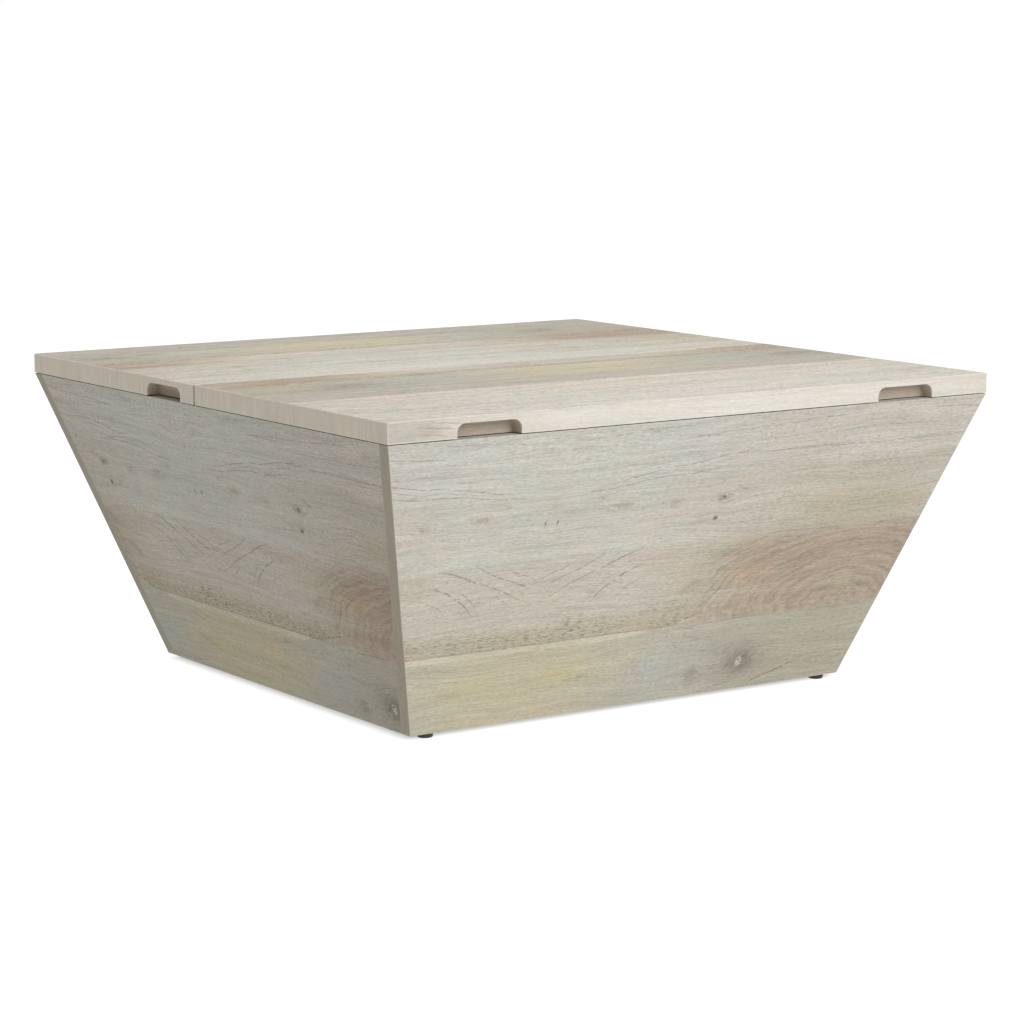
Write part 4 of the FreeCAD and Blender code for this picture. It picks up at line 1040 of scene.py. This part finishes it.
            # Painted shade: the seam's faces are darkened near the lid's top and ends, for the shade in the
            # gap between the lids.
            mouth = wiring.fade(wiring.math("MINIMUM", inside, below), *self.mouth_skin)
            seam = wiring.times(wiring.fade(start, *self.seam_skin), mouth)
            colour = wiring.blend(seam, colour, self.seam_shade_tint, "MULTIPLY")
        wiring.feed(shader.inputs["Base Color"], colour)
        wiring.feed(shader.inputs["Roughness"], wiring.ripple(plank["Satin"], self.satin, self.roughness))
        shader.inputs["Specular IOR Level"].default_value = self.mirror
        wiring.feed(shader.inputs["Normal"], wiring.bump(plank["Height"], self.relief, self.relief_height))
        return material

    def board_place(self, wiring: Wiring, coordinates: Socket) -> tuple[Socket, Socket, Socket]:
        """Turns the piece's coordinates into places along, across and into the board.

        Args:
            wiring: The material's wiring.
            coordinates: The piece's own coordinates.

        Returns:
            The three places.
        """
        along, across = Vector(self.lay.along), Vector(self.lay.across)
        turn = Matrix((along, across, along.cross(across)))
        place = wiring.add("ShaderNodeMapping", {
            "Vector": coordinates,
            "Location": -(turn @ Vector(self.lay.origin)),
            "Rotation": turn.to_euler("XYZ"),
        }, vector_type="POINT")
        return wiring.split(place.outputs[0])

    def spread_across(self, wiring: Wiring, across: Socket) -> Socket:
        """Turns the place across the board into the place across the figure, straight between the pairs."""
        pairs = self.lay.spread
        total = pairs[0][1]
        for (near, low), (far, high) in zip(pairs, pairs[1:]):
            total = wiring.scaled(wiring.rise(across, near, far), high - low, total)
        return total

    def end_distance(self, wiring: Wiring, coordinates: Socket) -> Socket:
        """Distance from the board's nearest end, which leans out by end_lean per metre above end_foot."""
        run = wiring.math("ABSOLUTE", wiring.vector("DOT_PRODUCT", coordinates, self.lay.along))
        height = wiring.minus(wiring.split(coordinates)[2], self.end_foot)
        return wiring.minus(wiring.scaled(height, self.end_lean, self.end_reach), run)

    def end_grain(self, wiring: Wiring, coordinates: Socket, inside: Socket, colour: Socket) -> Socket:
        """Shows streaked end grain where the board ends.

        Args:
            wiring: The material's wiring.
            coordinates: The piece's own coordinates.
            inside: Distance from the board's nearest end.
            colour: The colour of its faces.

        Returns:
            The colour with the end grain.
        """
        mask = wiring.fade(inside, *self.end_skin)
        grain = wiring.shade(self.end_colour, wiring.rippled(coordinates, self.end_streaks))
        return wiring.blend(mask, colour, self.end_clouds.tint(wiring, coordinates, grain))


@dataclass(frozen=True)
class Arris:
    """Painted highlight along the boards' edges, where the colour is paled.

    Attributes:
        skin: Distances from an edge between which the painted highlight pales the colour.
        patches: Where along an edge it does.
    """

    skin: Span = (0.0021, 0.0007)
    patches: Noise = Noise((60.0, 60.0, 60.0), 3.0, span=(0.25, 0.55))

    def build(self) -> NodeTree:
        """Builds a node group that finds the boards' edges.

        A point on a board lies on one of its faces, so the middle one of its three distances to the faces
        tells how near it is to an edge.

        Returns:
            The node group.
        """
        names = ("Ends", "Sides", "Faces", "Run")
        wiring, inputs, exit_node = new_group("painted_edge_highlight", names, (("Mask", "NodeSocketFloat"),))
        ends, sides, faces, run = (inputs[name] for name in names)
        larger = wiring.math("MINIMUM", wiring.math("MAXIMUM", ends, sides), faces)
        middle = wiring.math("MAXIMUM", wiring.math("MINIMUM", ends, sides), larger)
        highlighted = wiring.mask(wiring.join(run, sides, ends), self.patches)
        wiring.feed(exit_node.inputs["Mask"], wiring.times(wiring.fade(middle, *self.skin), highlighted))
        return wiring.tree


class Kind(Enum):
    """What a fitting is made of: three finishes of steel, or plain plastic, rubber or wood."""

    PAINTED = "painted"
    ZINC = "zinc"
    POLISHED = "polished"
    PLAIN = "plain"


@dataclass(frozen=True)
class FittingFinish:
    """Finish of the fittings: powder-coated, zinc-plated or polished steel, plastic, rubber or bare wood.

    Attributes:
        clouds, plain_clouds: Light and dark patches of steel, and of the rest.
        satin, plain_satin: How far the roughness varies with them.
        grit: Grain of painted and plated steel.
    """

    name: str
    kind: Kind
    colour: Colour
    roughness: float
    clouds: Noise = Noise((60.0, 60.0, 60.0), 3.0, depth=0.35)
    satin: float = 0.14
    plain_clouds: Noise = Noise((300.0, 300.0, 300.0), depth=0.3)
    plain_satin: float = 0.2
    grit: Noise = Noise((1400.0, 1400.0, 1400.0))
    relief: float = 0.25
    relief_height: float = 0.0002

    def build(self) -> bpy.types.Material:
        """Builds the material."""
        material, wiring, shader, coordinates = new_material(self.name)
        plain = self.kind is Kind.PLAIN
        noise, satin = (self.plain_clouds, self.plain_satin) if plain else (self.clouds, self.satin)
        clouds = wiring.noise(coordinates, noise)
        light = wiring.ripple(clouds, noise.depth)
        wiring.feed(shader.inputs["Base Color"], wiring.shade(self.colour, light))
        wiring.feed(shader.inputs["Roughness"], wiring.ripple(clouds, satin, self.roughness))
        shader.inputs["Metallic"].default_value = float(self.kind in (Kind.ZINC, Kind.POLISHED))
        if self.kind in (Kind.PAINTED, Kind.ZINC):
            grit = wiring.noise(coordinates, self.grit)
            wiring.feed(shader.inputs["Normal"], wiring.bump(grit, self.relief, self.relief_height))
        return material


def paint(node: str, material: bpy.types.Material) -> None:
    """Gives a CAD node one material."""
    mesh = frame["nodes"][node].data
    mesh.materials.clear()
    mesh.materials.append(material)
    LOG.info("%s wears %s", node, material.name)


class WoodShop:
    """Builds the shared node groups of the wood once and dresses nodes with its finishes."""

    def __init__(self) -> None:
        """Builds the shared groups."""
        planks = PlankFigure()
        self.length = planks.half_length
        self.figure = planks.build()
        self.arris = Arris().build()

    def dress(self, node: str, finish: WoodFinish) -> None:
        """Gives a CAD node a wood finish of its own."""
        paint(node, finish.build(self.figure, self.arris, self.length))


@dataclass(frozen=True)
class Panel:
    """A leaning panel: its node, the directions along its grain and outwards, its fold and its painted shade.
    """

    node: str
    along: Point
    outward: Point
    fold: float
    shade: float = 1.0


@dataclass(frozen=True)
class Lid:
    """A lid: its node, 1 at the back or -1 at the front, its fold and the spread of the figure over it."""

    node: str
    back: float
    fold: float
    spread: tuple[Span, ...]


@dataclass(frozen=True)
class Table:
    """The table's boards, dressed where the solids stand.

    Attributes:
        half_top, half_rim: Half the size of the lids and of the body's rim.
        bottom_start: Where the figure starts on the bottom panel.
        beyond: A distance past every edge, for boards that show no end grain and no painted edge highlight.
    """

    half_top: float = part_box("front_lid")[1].x
    half_rim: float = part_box("front_panel")[1].x
    half_foot_width: float = 0.3355
    half_foot_depth: float = 0.3095
    rim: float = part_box("front_panel")[1].z
    foot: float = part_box("front_panel")[0].z
    lid_foot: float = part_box("front_lid")[0].z
    lid_top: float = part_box("front_lid")[1].z
    half_seam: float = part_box("rear_lid")[0].y
    panel_thick: float = 0.018
    bottom_start: float = -0.31
    beyond: float = 1.0
    # Painted light: how much lighter the panels are painted towards their foot.
    panel_foot_light: float = 0.040
    # Painted highlight: how pale the panels' arrises are painted.
    panel_edge_highlight: float = 0.12
    panel_ends: Colour = (0.402, 0.371, 0.298)
    lid_vigour: float = 1.4
    lid_knots: float = 0.22
    edge_board: float = 0.668
    panels: tuple[Panel, ...] = (
        Panel("front_panel", (1, 0, 0), (0, -1, 0), -0.198),
        Panel("rear_panel", (-1, 0, 0), (0, 1, 0), 0.120),
        # Painted shade: the left panel is painted darker, as the side that the lamps light least.
        Panel("left_panel", (0, -1, 0), (-1, 0, 0), -0.064, 0.925),
        Panel("right_panel", (0, 1, 0), (1, 0, 0), 0.150),
    )
    lids: tuple[Lid, ...] = (
        Lid("rear_lid", 1.0, -0.057, (
            (0.0, 0.640), (0.0665, 0.562), (0.067, 0.083), (0.197, 0.178), (0.287, 0.297), (0.377, 0.407),
            (0.457, 0.475),
        )),
        Lid("front_lid", -1.0, 0.054, (
            (0.0, 0.215), (0.068, 0.297), (0.158, 0.407), (0.233, 0.480), (0.333, 0.561), (0.457, 0.645),
        )),
    )

    def lean(self, half_foot: float) -> float:
        """Run of a panel outwards per metre of height."""
        return (self.half_rim - half_foot) / (self.rim - self.foot)

    def panel_lay(self, panel: Panel, half_foot: float) -> Lay:
        """Lays the figure on a leaning panel, from the rim down.

        Args:
            panel: The panel.
            half_foot: Half the body's size at the foot, in the panel's outward direction.

        Returns:
            The lay of the panel.
        """
        tilt = math.atan(self.lean(half_foot))
        out = Vector(panel.outward)
        down = -out * math.sin(tilt) - Vector((0.0, 0.0, math.cos(tilt)))
        origin = out * self.half_rim + Vector((0.0, 0.0, self.rim))
        return Lay(tuple(origin), panel.along, tuple(down), panel.fold)

    def dress_panels(self, wood: WoodShop) -> None:
        """Dresses the four leaning panels."""
        feet = (self.half_foot_depth, self.half_foot_width)
        for panel in self.panels:
            half_foot, reach = feet[::-1] if panel.outward[0] else feet
            length = math.hypot(self.rim - self.foot, self.half_rim - half_foot)
            lay = self.panel_lay(panel, half_foot)
            wood.dress(panel.node, WoodFinish(
                f"{panel.node}_wood", lay, reach, (0.0, length), self.panel_thick, self.lean(reach),
                self.foot, self.panel_ends, panel.shade, self.panel_foot_light, edge_highlight=self.panel_edge_highlight))

    def dress_lids(self, wood: WoodShop) -> None:
        """Dresses the two lids, whose boards run from side to side and follow on from the seam."""
        for lid in self.lids:
            lay = Lay((0.0, 0.0, self.lid_foot), (1.0, 0.0, 0.0), (0.0, lid.back, 0.0), lid.fold, lid.spread)
            wood.dress(lid.node, WoodFinish(
                f"{lid.node}_wood", lay, self.half_top, (self.half_seam, self.half_top),
                self.lid_top - self.lid_foot, vigour=self.lid_vigour, knots=self.lid_knots,
                edge_board=self.edge_board))

    def dress_inside(self, wood: WoodShop) -> None:
        """Dresses the bottom panel, the divider and the cleats."""
        edge, down = (0.0, 0.0, self.rim), (0.0, 0.0, -1.0)
        lays = {
            "bottom_panel": Lay((0.0, self.bottom_start, 0.0), (1.0, 0.0, 0.0), (0.0, 1.0, 0.0), fold=0.03),
            "centre_divider": Lay(edge, (1.0, 0.0, 0.0), down, fold=0.16),
            "left_lift_cleat": Lay(edge, (0.0, -1.0, 0.0), down, fold=-0.1),
            "right_lift_cleat": Lay(edge, (0.0, 1.0, 0.0), down, fold=0.2),
        }
        for node, lay in lays.items():
            reach = (-self.beyond, self.beyond)
            wood.dress(node, WoodFinish(f"{node}_wood", lay, self.beyond, reach, self.beyond))


class Facing(Enum):
    """Which way the outer end of a fitting faces."""

    UP = "up"
    DOWN = "down"
    INWARD = "inward"
    OUTWARD = "outward"

    def directions(self, places: np.ndarray) -> np.ndarray:
        """The direction for each place; inward is level towards the table's middle, from left and right.

        Args:
            places: One row of three coordinates for each fitting.

        Returns:
            One row of three numbers for each fitting.
        """
        across = np.sign(places[:, :1]) * np.array((1.0, 0.0, 0.0))
        upward = np.ones((len(places), 1)) * np.array((0.0, 0.0, 1.0))
        choices = {Facing.UP: upward, Facing.DOWN: -upward, Facing.INWARD: -across, Facing.OUTWARD: across}
        return choices[self]


def solids_of(node: str) -> list[np.ndarray]:
    """The separate solids of a CAD node, each as its corner points.

    Corners at one place count as one. Each has a label of its own at first, and the lowest label of a
    triangle spreads to its corners until nothing changes, so that each solid ends with a single label.

    Args:
        node: The node's name.

    Returns:
        One array of points for each solid.
    """
    mesh = frame["nodes"][node].data
    points = np.empty(3 * len(mesh.vertices))
    mesh.vertices.foreach_get("co", points)
    corners = np.empty(len(mesh.loops), dtype=np.int64)
    mesh.loops.foreach_get("vertex_index", corners)
    places, which = np.unique(points.reshape(-1, 3).round(6), axis=0, return_inverse=True)
    triangles = which.ravel()[corners].reshape(-1, 3)
    labels = np.arange(len(places))
    settled = False
    while not settled:
        spread = labels.copy()
        np.minimum.at(spread, triangles.ravel(), np.repeat(labels[triangles].min(axis=1), 3))
        settled = np.array_equal(spread, labels)
        labels = spread
    return [places[labels == label] for label in np.unique(labels)]


def turn_profile(heights: np.ndarray, radii: np.ndarray, ends: np.ndarray, facing: np.ndarray) -> tuple:
    """Turns a profile round an axis, at every seat at once.

    The point in row i and column j stands at its seat's end, plus its height along the axis, plus its
    radius across the axis at j parts of a full turn. The first and the last row are single points that
    close the ends.

    Args:
        heights: Height of each grid point along the axis, outwards from the end.
        radii: Distance of each grid point from the axis.
        ends: Middle of the outer end at each seat.
        facing: Direction out of that end.

    Returns:
        The points, and the faces as lists of point numbers.
    """
    rows, columns = heights.shape
    angle = np.linspace(0.0, 2.0 * np.pi, columns, endpoint=False)[None, :, None]
    side = np.roll(np.abs(facing), 1, axis=1)
    other = np.cross(facing, side)
    around = np.cos(angle) * side[:, None] + np.sin(angle) * other[:, None]
    grid = ends[:, None, None] + heights[None, ..., None] * facing[:, None, None]
    grid = grid + radii[None, ..., None] * around[:, None]
    rings = grid[:, 1:-1].reshape(len(ends), -1, 3)
    points = np.concatenate((grid[:, 0, :1], rings, grid[:, -1, :1]), axis=1)
    ring = 1 + np.arange((rows - 2) * columns).reshape(rows - 2, columns)
    following = np.roll(ring, -1, axis=1)
    quads = np.stack((ring[:-1], ring[1:], following[1:], following[:-1]), axis=-1).reshape(-1, 4)
    first = np.zeros(columns, dtype=np.int64)
    last = first + points.shape[1] - 1
    caps = np.concatenate((
        np.stack((first, ring[0], following[0]), axis=-1),
        np.stack((ring[-1], last, following[-1]), axis=-1),
    ))
    shift = points.shape[1] * np.arange(len(ends))[:, None, None]
    faces = (quads + shift).reshape(-1, 4).tolist() + (caps + shift).reshape(-1, 3).tolist()
    return points.reshape(-1, 3), faces


@dataclass(frozen=True)
class TurnedSet:
    """A set of like turned fittings that stands for one CAD node.

    Attributes:
        node: The node that the set replaces.
        facing: Which way the outer ends face.
        columns: Points round each fitting.
        sharp_angle: Angle in degrees from which an edge stays sharp.
    """

    node: str
    facing: Facing
    columns: int = 48
    sharp_angle: float = 38.0

    def profile(self) -> Grid:
        """Heights and radii of the turned surface, from the outer end's middle to the inner end's."""
        raise NotImplementedError

    def round_up(self, pairs: np.ndarray) -> Grid:
        """Repeats a plain profile, rows of height and radius, at every column."""
        shape = (len(pairs), self.columns)
        return np.broadcast_to(pairs[:, :1], shape), np.broadcast_to(pairs[:, 1:], shape)

    def build(self, material: bpy.types.Material, slot: str) -> None:
        """Builds the set at the node's solids and dresses it.

        Args:
            material: Its finish.
            slot: The record's slot for that finish; not used.
        """
        boxes = np.array([(solid.min(axis=0), solid.max(axis=0)) for solid in solids_of(self.node)])
        middles = boxes.mean(axis=1)
        facing = self.facing.directions(middles)
        reach = np.abs((boxes[:, 1] - boxes[:, 0]) / 2 * facing).sum(axis=1, keepdims=True)
        points, faces = turn_profile(*self.profile(), middles + facing * reach, facing)
        mesh = bpy.data.meshes.new(f"turned_{self.node}")
        mesh.from_pydata(points.tolist(), [], faces)
        mesh.shade_smooth()
        mesh.set_sharp_from_angle(angle=math.radians(self.sharp_angle))
        mesh.materials.append(material)
        piece = bpy.data.objects.new(f"turned_{self.node}", mesh)
        bpy.context.scene.collection.objects.link(piece)
        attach(piece, body_of(frame["nodes"][self.node])[0])
        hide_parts(self.node)
        LOG.info("%s stands for %s in %s", piece.name, self.node, material.name)


@dataclass(frozen=True)
class ScrewSet(TurnedSet):
    """Countersunk wood screws with a cross recess and a thread.

    Attributes:
        head: Radius of the head, of which flat, leg, leg_wall, arm, arm_wall, recess and rim are shares.
        shank: Outer radius of the thread, of which groove is a share.
        length: Length over all.
        pitch: Distance from thread to thread.
        flat: Radius of the flat top.
        leg, leg_wall: Half the width of the cross's legs, and the width of their sloping walls.
        arm, arm_wall: Length of the legs, and how much of it slopes.
        rim: Heights and radii of the rounded rim.
    """

    head: float = 0.0038
    shank: float = 0.0020
    length: float = 0.015
    pitch: float = 0.0016
    thread_rows: int = 4
    flat: float = 0.95
    flat_rows: int = 18
    leg: float = 0.17
    leg_wall: float = 0.07
    arm: float = 0.66
    arm_wall: float = 0.30
    recess: float = 0.36
    rim: tuple[Span, ...] = ((-0.012, 0.970), (-0.035, 0.965))
    groove: float = 0.24

    def profile(self) -> Grid:
        """The flat head with a cross pressed into it, the cone under it, and a thread down to the point.

        The cross is as deep as a point is far inside its arms, and shallower towards their ends. The thread's
        radius falls and rises evenly once per pitch, shifted by the share of the turn, which makes a helix.

        Returns:
            Heights and radii.
        """
        turn = np.linspace(0.0, 2.0 * np.pi, self.columns, endpoint=False)
        across = np.linspace(0.0, self.flat, self.flat_rows)[:, None]
        legs = np.abs(np.stack((across * np.cos(turn), across * np.sin(turn))))
        inside = np.clip((self.leg - legs.min(axis=0)) / self.leg_wall, 0.0, 1.0)
        taper = np.clip((self.arm - legs.max(axis=0)) / self.arm_wall, 0.0, 1.0)
        top = (-self.recess * self.head * inside * taper, self.head * np.broadcast_to(across, inside.shape))
        rim = self.round_up(self.head * np.array(self.rim))
        neck = self.head - self.shank
        step = self.pitch / self.thread_rows
        steps = np.arange(neck, self.length - step / 2, step)[:, None]
        wave = np.abs(2.0 * ((steps / self.pitch + turn / (2.0 * np.pi)) % 1.0) - 1.0)
        point = np.clip((self.length - steps) / (2.0 * self.shank), 0.0, 1.0)
        thread = (np.broadcast_to(-steps, wave.shape), self.shank * point * (1.0 - self.groove * wave))
        end = self.round_up(np.array(((-self.length, 0.0),)))
        return tuple(np.concatenate(parts) for parts in zip(top, rim, thread, end))


@dataclass(frozen=True)
class PinSet(TurnedSet):
    """Rivets, pins and studs: a stepped shaft with a domed and dimpled outer end.

    Attributes:
        steps: Length and radius of each step, from the outer end inwards.
        dome: How far the outer end bulges, in dome_rows rows of points.
        dimple: Depth of the mark in its middle, and dimple_share its radius as a share of the end's.
    """

    steps: tuple[Span, ...] = ()
    dome: float = 0.0011
    dome_rows: int = 15
    dimple: float = 0.0004
    dimple_share: float = 0.3

    def profile(self) -> Grid:
        """The dome falls with the cube of the distance from the middle, and the steps follow it.

        Returns:
            Heights and radii.
        """
        lengths, radii = np.array(self.steps).T
        share = np.linspace(0.0, 1.0, self.dome_rows)
        dent = self.dimple * np.clip(1.0 - (share / self.dimple_share) ** 2, 0.0, 1.0)
        cap = np.stack((-self.dome * share ** 3 - dent, radii[0] * share), axis=1)
        shoulders = np.append(np.repeat(radii, 2)[1:], 0.0)
        shaft = np.stack((-np.repeat(np.cumsum(lengths), 2), shoulders), axis=1)
        return self.round_up(np.concatenate((cap, shaft)))


@dataclass(frozen=True)
class ButtonSet(TurnedSet):
    """Glides and bumpers: moulded buttons with a rounded outer edge.

    Attributes:
        radius: The button's radius.
        height: Its height.
        edge: Radius of the rounded outer edge across the button.
        rise: Height of that rounded edge.
        dish: Depth of the hollow in the outer end, and dish_share its radius as a share of the flat end's.
        bevel_share: Size of the inner bevel as a share of the upright side.
        rows: Rows of points on the outer end and on its edge.
    """

    radius: float = 0.010
    height: float = 0.0055
    edge: float = 0.0022
    rise: float = 0.0022
    dish: float = 0.0
    dish_share: float = 0.6
    bevel_share: float = 0.2
    rows: int = 9

    def profile(self) -> Grid:
        """A flat or dished face, a quarter ellipse for the edge, and an upright side that ends in a bevel.

        Returns:
            Heights and radii.
        """
        flat = self.radius - self.edge
        share = np.linspace(0.0, 1.0, self.rows, endpoint=False)
        hollow = np.clip(1.0 - (share / self.dish_share) ** 2, 0.0, 1.0)
        face = np.stack((-self.dish * hollow, flat * share), axis=1)
        turn = np.linspace(0.0, np.pi / 2, self.rows)
        edge = np.stack((self.rise * (np.cos(turn) - 1.0), flat + self.edge * np.sin(turn)), axis=1)
        bevel = (self.height - self.rise) * self.bevel_share
        foot = np.array((
            (bevel - self.height, self.radius),
            (-self.height, self.radius - bevel),
            (-self.height, 0.0),
        ))
        return self.round_up(np.concatenate((face, edge, foot)))


@dataclass(frozen=True)
class Fittings:
    """The metal, plastic and rubber pieces: finishes, and turned pieces that stand for plain solids.

    Attributes:
        rivet: Steps of a pivot rivet: head, arm, washer and plate.
        rod_pin: Steps of a gas spring's pin.
        anchor: Steps of a gas spring's anchor.
        stud: Steps of a stop stud.
        stud_dome: How far a stop stud's end bulges.
        hinge_screw: Sizes of the screws in the hinges.
        bumper_radius: Radius of a lid's bumpers.
        bumper_height: Their height, and bumper_round the share of it that is rounded.
        glide_dish: Depth of the hollow under a glide.
    """

    rivet: tuple[Span, ...] = (
        (0.00195, 0.007), (0.0041, 0.004), (0.00055, 0.007), (0.003, 0.004))
    rod_pin: tuple[Span, ...] = ((0.00195, 0.007), (0.01835, 0.0035))
    anchor: tuple[Span, ...] = (
        (0.00195, 0.007), (0.0101, 0.0035), (0.01315, 0.005), (0.003, 0.0035))
    stud: tuple[Span, ...] = ((0.0052, 0.005), (0.003, 0.004))
    stud_dome: float = 0.0005
    hinge_screw: tuple[float, float, float, float] = (0.0028, 0.0015, 0.012, 0.0013)
    bumper_radius: float = 0.0035
    bumper_height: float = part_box("front_lid")[0].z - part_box("front_panel")[1].z
    bumper_round: float = 0.8
    glide_dish: float = 0.0006

    def finishes(self) -> dict[str, bpy.types.Material]:
        """Builds one finish for each of the record's slots that isn't a board."""
        finishes = {
            "painted_steel": FittingFinish("black_powder_coat", Kind.PAINTED, (0.022, 0.022, 0.024), 0.48),
            "zinc_steel": FittingFinish("zinc_plate", Kind.ZINC, (0.40, 0.41, 0.42), 0.40),
            "polished_steel": FittingFinish("polished_rod", Kind.POLISHED, (0.72, 0.73, 0.74), 0.16),
            "glide_plastic": FittingFinish("glide_plastic", Kind.PLAIN, (0.014, 0.014, 0.015), 0.45),
            "bumper_rubber": FittingFinish("bumper_rubber", Kind.PLAIN, (0.50, 0.50, 0.48), 0.55),
            "dowel_wood": FittingFinish("dowel_beech", Kind.PLAIN, (0.55, 0.38, 0.22), 0.65),
        }
        return {slot: finish.build() for slot, finish in finishes.items()}

    def turned_sets(self) -> list[TurnedSet]:
        """Lists the screws, rivets, pins, glides and bumpers."""
        small = dict(zip(("head", "shank", "length", "pitch"), self.hinge_screw))
        sets = [
            ScrewSet("hinge_body_screws", Facing.UP, **small),
            ScrewSet("hinge_lid_screws", Facing.DOWN, **small),
            ScrewSet("lift_base_screws", Facing.INWARD),
            ScrewSet("lid_rail_screws", Facing.DOWN),
            ButtonSet("lid_bumpers", Facing.UP, radius=self.bumper_radius, height=self.bumper_height,
                      rise=self.bumper_height * self.bumper_round),
        ]
        for side in ("left", "right"):
            sets += [
                PinSet(f"{side}_base_rivets", Facing.INWARD, steps=self.rivet),
                PinSet(f"{side}_rail_rivets", Facing.OUTWARD, steps=self.rivet),
                PinSet(f"{side}_stop_stud", Facing.INWARD, steps=self.stud, dome=self.stud_dome, dimple=0.0),
                PinSet(f"{side}_gas_pin", Facing.INWARD, steps=self.rod_pin),
                PinSet(f"{side}_gas_anchor", Facing.INWARD, steps=self.anchor),
            ]
        for end in ("front", "rear"):
            for side in ("left", "right"):
                sets.append(ButtonSet(f"glide_{end}_{side}", Facing.DOWN, dish=self.glide_dish))
        return sets

    def dress(self) -> None:
        """Dresses the nodes by their slot in the record and puts the turned sets in place of theirs."""
        built = self.finishes()
        slots = {entry["node"]: entry["material_slot"] for entry in frame["record"]["subparts"]}
        for node, slot in slots.items():
            if slot in built:
                paint(node, built[slot])
        for fitting in self.turned_sets():
            slot = slots[fitting.node]
            fitting.build(built[slot], slot)


@dataclass(frozen=True)
class Studio:
    """Camera, lamps and a white floor with a painted contact shadow."""

    camera_place: Point = (-2.2898, -3.3983, 0.8515)
    camera_tilt: float = -8.881
    camera_turn: float = -34.256
    lens: float = 108.654
    far_clip: float = 60.0
    key_place: Point = (0.5, -4.2, 2.7)
    key_size: float = 2.6
    key_power: float = 122.0
    top_place: Point = (0.0, 0.7, 3.4)
    top_size: float = 4.0
    top_power: float = 64.0
    aim: Point = (0.0, 0.0, 0.25)
    sky: float = 0.31
    floor_half: float = 14.0
    floor_shade: float = 0.20
    floor_bounce: float = 0.64
    floor_contact_shadow: float = 0.40
    floor_white: float = 0.97
    shadow_start: float = -0.006
    shadow_end: float = 0.028
    half_shadow: Point = (0.3207, 0.2896, 0.0)

    def build(self) -> None:
        """Sets up the whole studio."""
        bpy.context.scene.view_settings.view_transform = "Standard"
        self.set_camera()
        self.hang_lamp("key", self.key_place, self.key_size, self.key_power)
        self.hang_lamp("top", self.top_place, self.top_size, self.top_power)
        self.set_sky()
        self.lay_floor()

    def set_camera(self) -> None:
        """Puts the camera at the photograph's angle."""
        data = bpy.data.cameras.new("camera")
        data.lens = self.lens
        data.clip_end = self.far_clip
        camera = bpy.data.objects.new("camera", data)
        camera.location = self.camera_place
        camera.rotation_euler = (math.radians(90.0 + self.camera_tilt), 0.0, math.radians(self.camera_turn))
        bpy.context.scene.collection.objects.link(camera)
        bpy.context.scene.camera = camera

    def hang_lamp(self, name: str, place: Point, size: float, power: float) -> None:
        """Hangs one large soft lamp that points at the object.

        Args:
            name: The lamp's name.
            place: Where it hangs.
            size: Its diameter.
            power: Its power in watts.
        """
        data = bpy.data.lights.new(name, "AREA")
        data.shape = "DISK"
        data.size = size
        data.energy = power
        lamp = bpy.data.objects.new(name, data)
        lamp.location = place
        beam = Vector(self.aim) - Vector(place)
        lamp.rotation_euler = beam.to_track_quat("-Z", "Y").to_euler()
        bpy.context.scene.collection.objects.link(lamp)

    def set_sky(self) -> None:
        """Lights all round evenly, and shows plain white behind the object."""
        world = bpy.data.worlds.new("studio")
        bpy.context.scene.world = world
        world.use_nodes = True
        wiring = Wiring(world.node_tree)
        back = world.node_tree.nodes["Background"]
        back.inputs["Color"].default_value = (1.0, 1.0, 1.0, 1.0)
        seen = self.seen_rays(wiring)
        wiring.feed(back.inputs["Strength"], wiring.scaled(seen, 1.0 - self.sky, self.sky))

    def seen_rays(self, wiring: Wiring) -> Socket:
        """1 for what is seen directly, mirrored or through something clear, and 0 for light on the object."""
        path = wiring.add("ShaderNodeLightPath").outputs
        seen = wiring.math("MAXIMUM", path["Is Camera Ray"], path["Is Glossy Ray"])
        return wiring.math("MAXIMUM", seen, path["Is Transmission Ray"])

    def lay_floor(self) -> None:
        """Lays a wide white floor that keeps the object's shadow, with a painted contact shadow round its
        footprint.
        """
        half = self.floor_half
        mesh = bpy.data.meshes.new("floor")
        corners = [(-half, -half, 0.0), (half, -half, 0.0), (half, half, 0.0), (-half, half, 0.0)]
        mesh.from_pydata(corners, [], [(0, 1, 2, 3)])
        floor = bpy.data.objects.new("floor", mesh)
        bpy.context.scene.collection.objects.link(floor)
        material, wiring, shader, place = new_material("white_floor")
        wiring.tree.nodes.remove(shader)
        matt = wiring.add("ShaderNodeBsdfDiffuse", {"Color": (self.floor_shade,) * 3})
        glow = wiring.add("ShaderNodeEmission")
        seen = self.seen_rays(wiring)
        # Painted shadow: seen directly, the floor's glow falls near the table's footprint, which darkens it
        # there beyond its real shadow.
        outside = wiring.vector("SUBTRACT", wiring.vector("ABSOLUTE", place), self.half_shadow)
        outside = wiring.vector("MAXIMUM", outside, (0.0, 0.0, 0.0))
        far = wiring.fade(wiring.vector("LENGTH", outside), self.shadow_start, self.shadow_end)
        shown = wiring.between(far, self.floor_contact_shadow, self.floor_white)
        wiring.feed(glow.inputs["Strength"], wiring.between(seen, self.floor_bounce, shown))
        both = wiring.add("ShaderNodeAddShader", {0: matt.outputs[0], 1: glow.outputs[0]})
        wiring.feed(wiring.tree.nodes["Material Output"].inputs["Surface"], both.outputs[0])
        mesh.materials.append(material)


def main() -> None:
    """Dresses the table and sets up the studio."""
    logging.basicConfig(level=logging.INFO, format="%(name)s: %(message)s")
    wood = WoodShop()
    table = Table()
    table.dress_panels(wood)
    table.dress_lids(wood)
    table.dress_inside(wood)
    Fittings().dress()
    Studio().build()


if __name__ == "__main__":
    main()
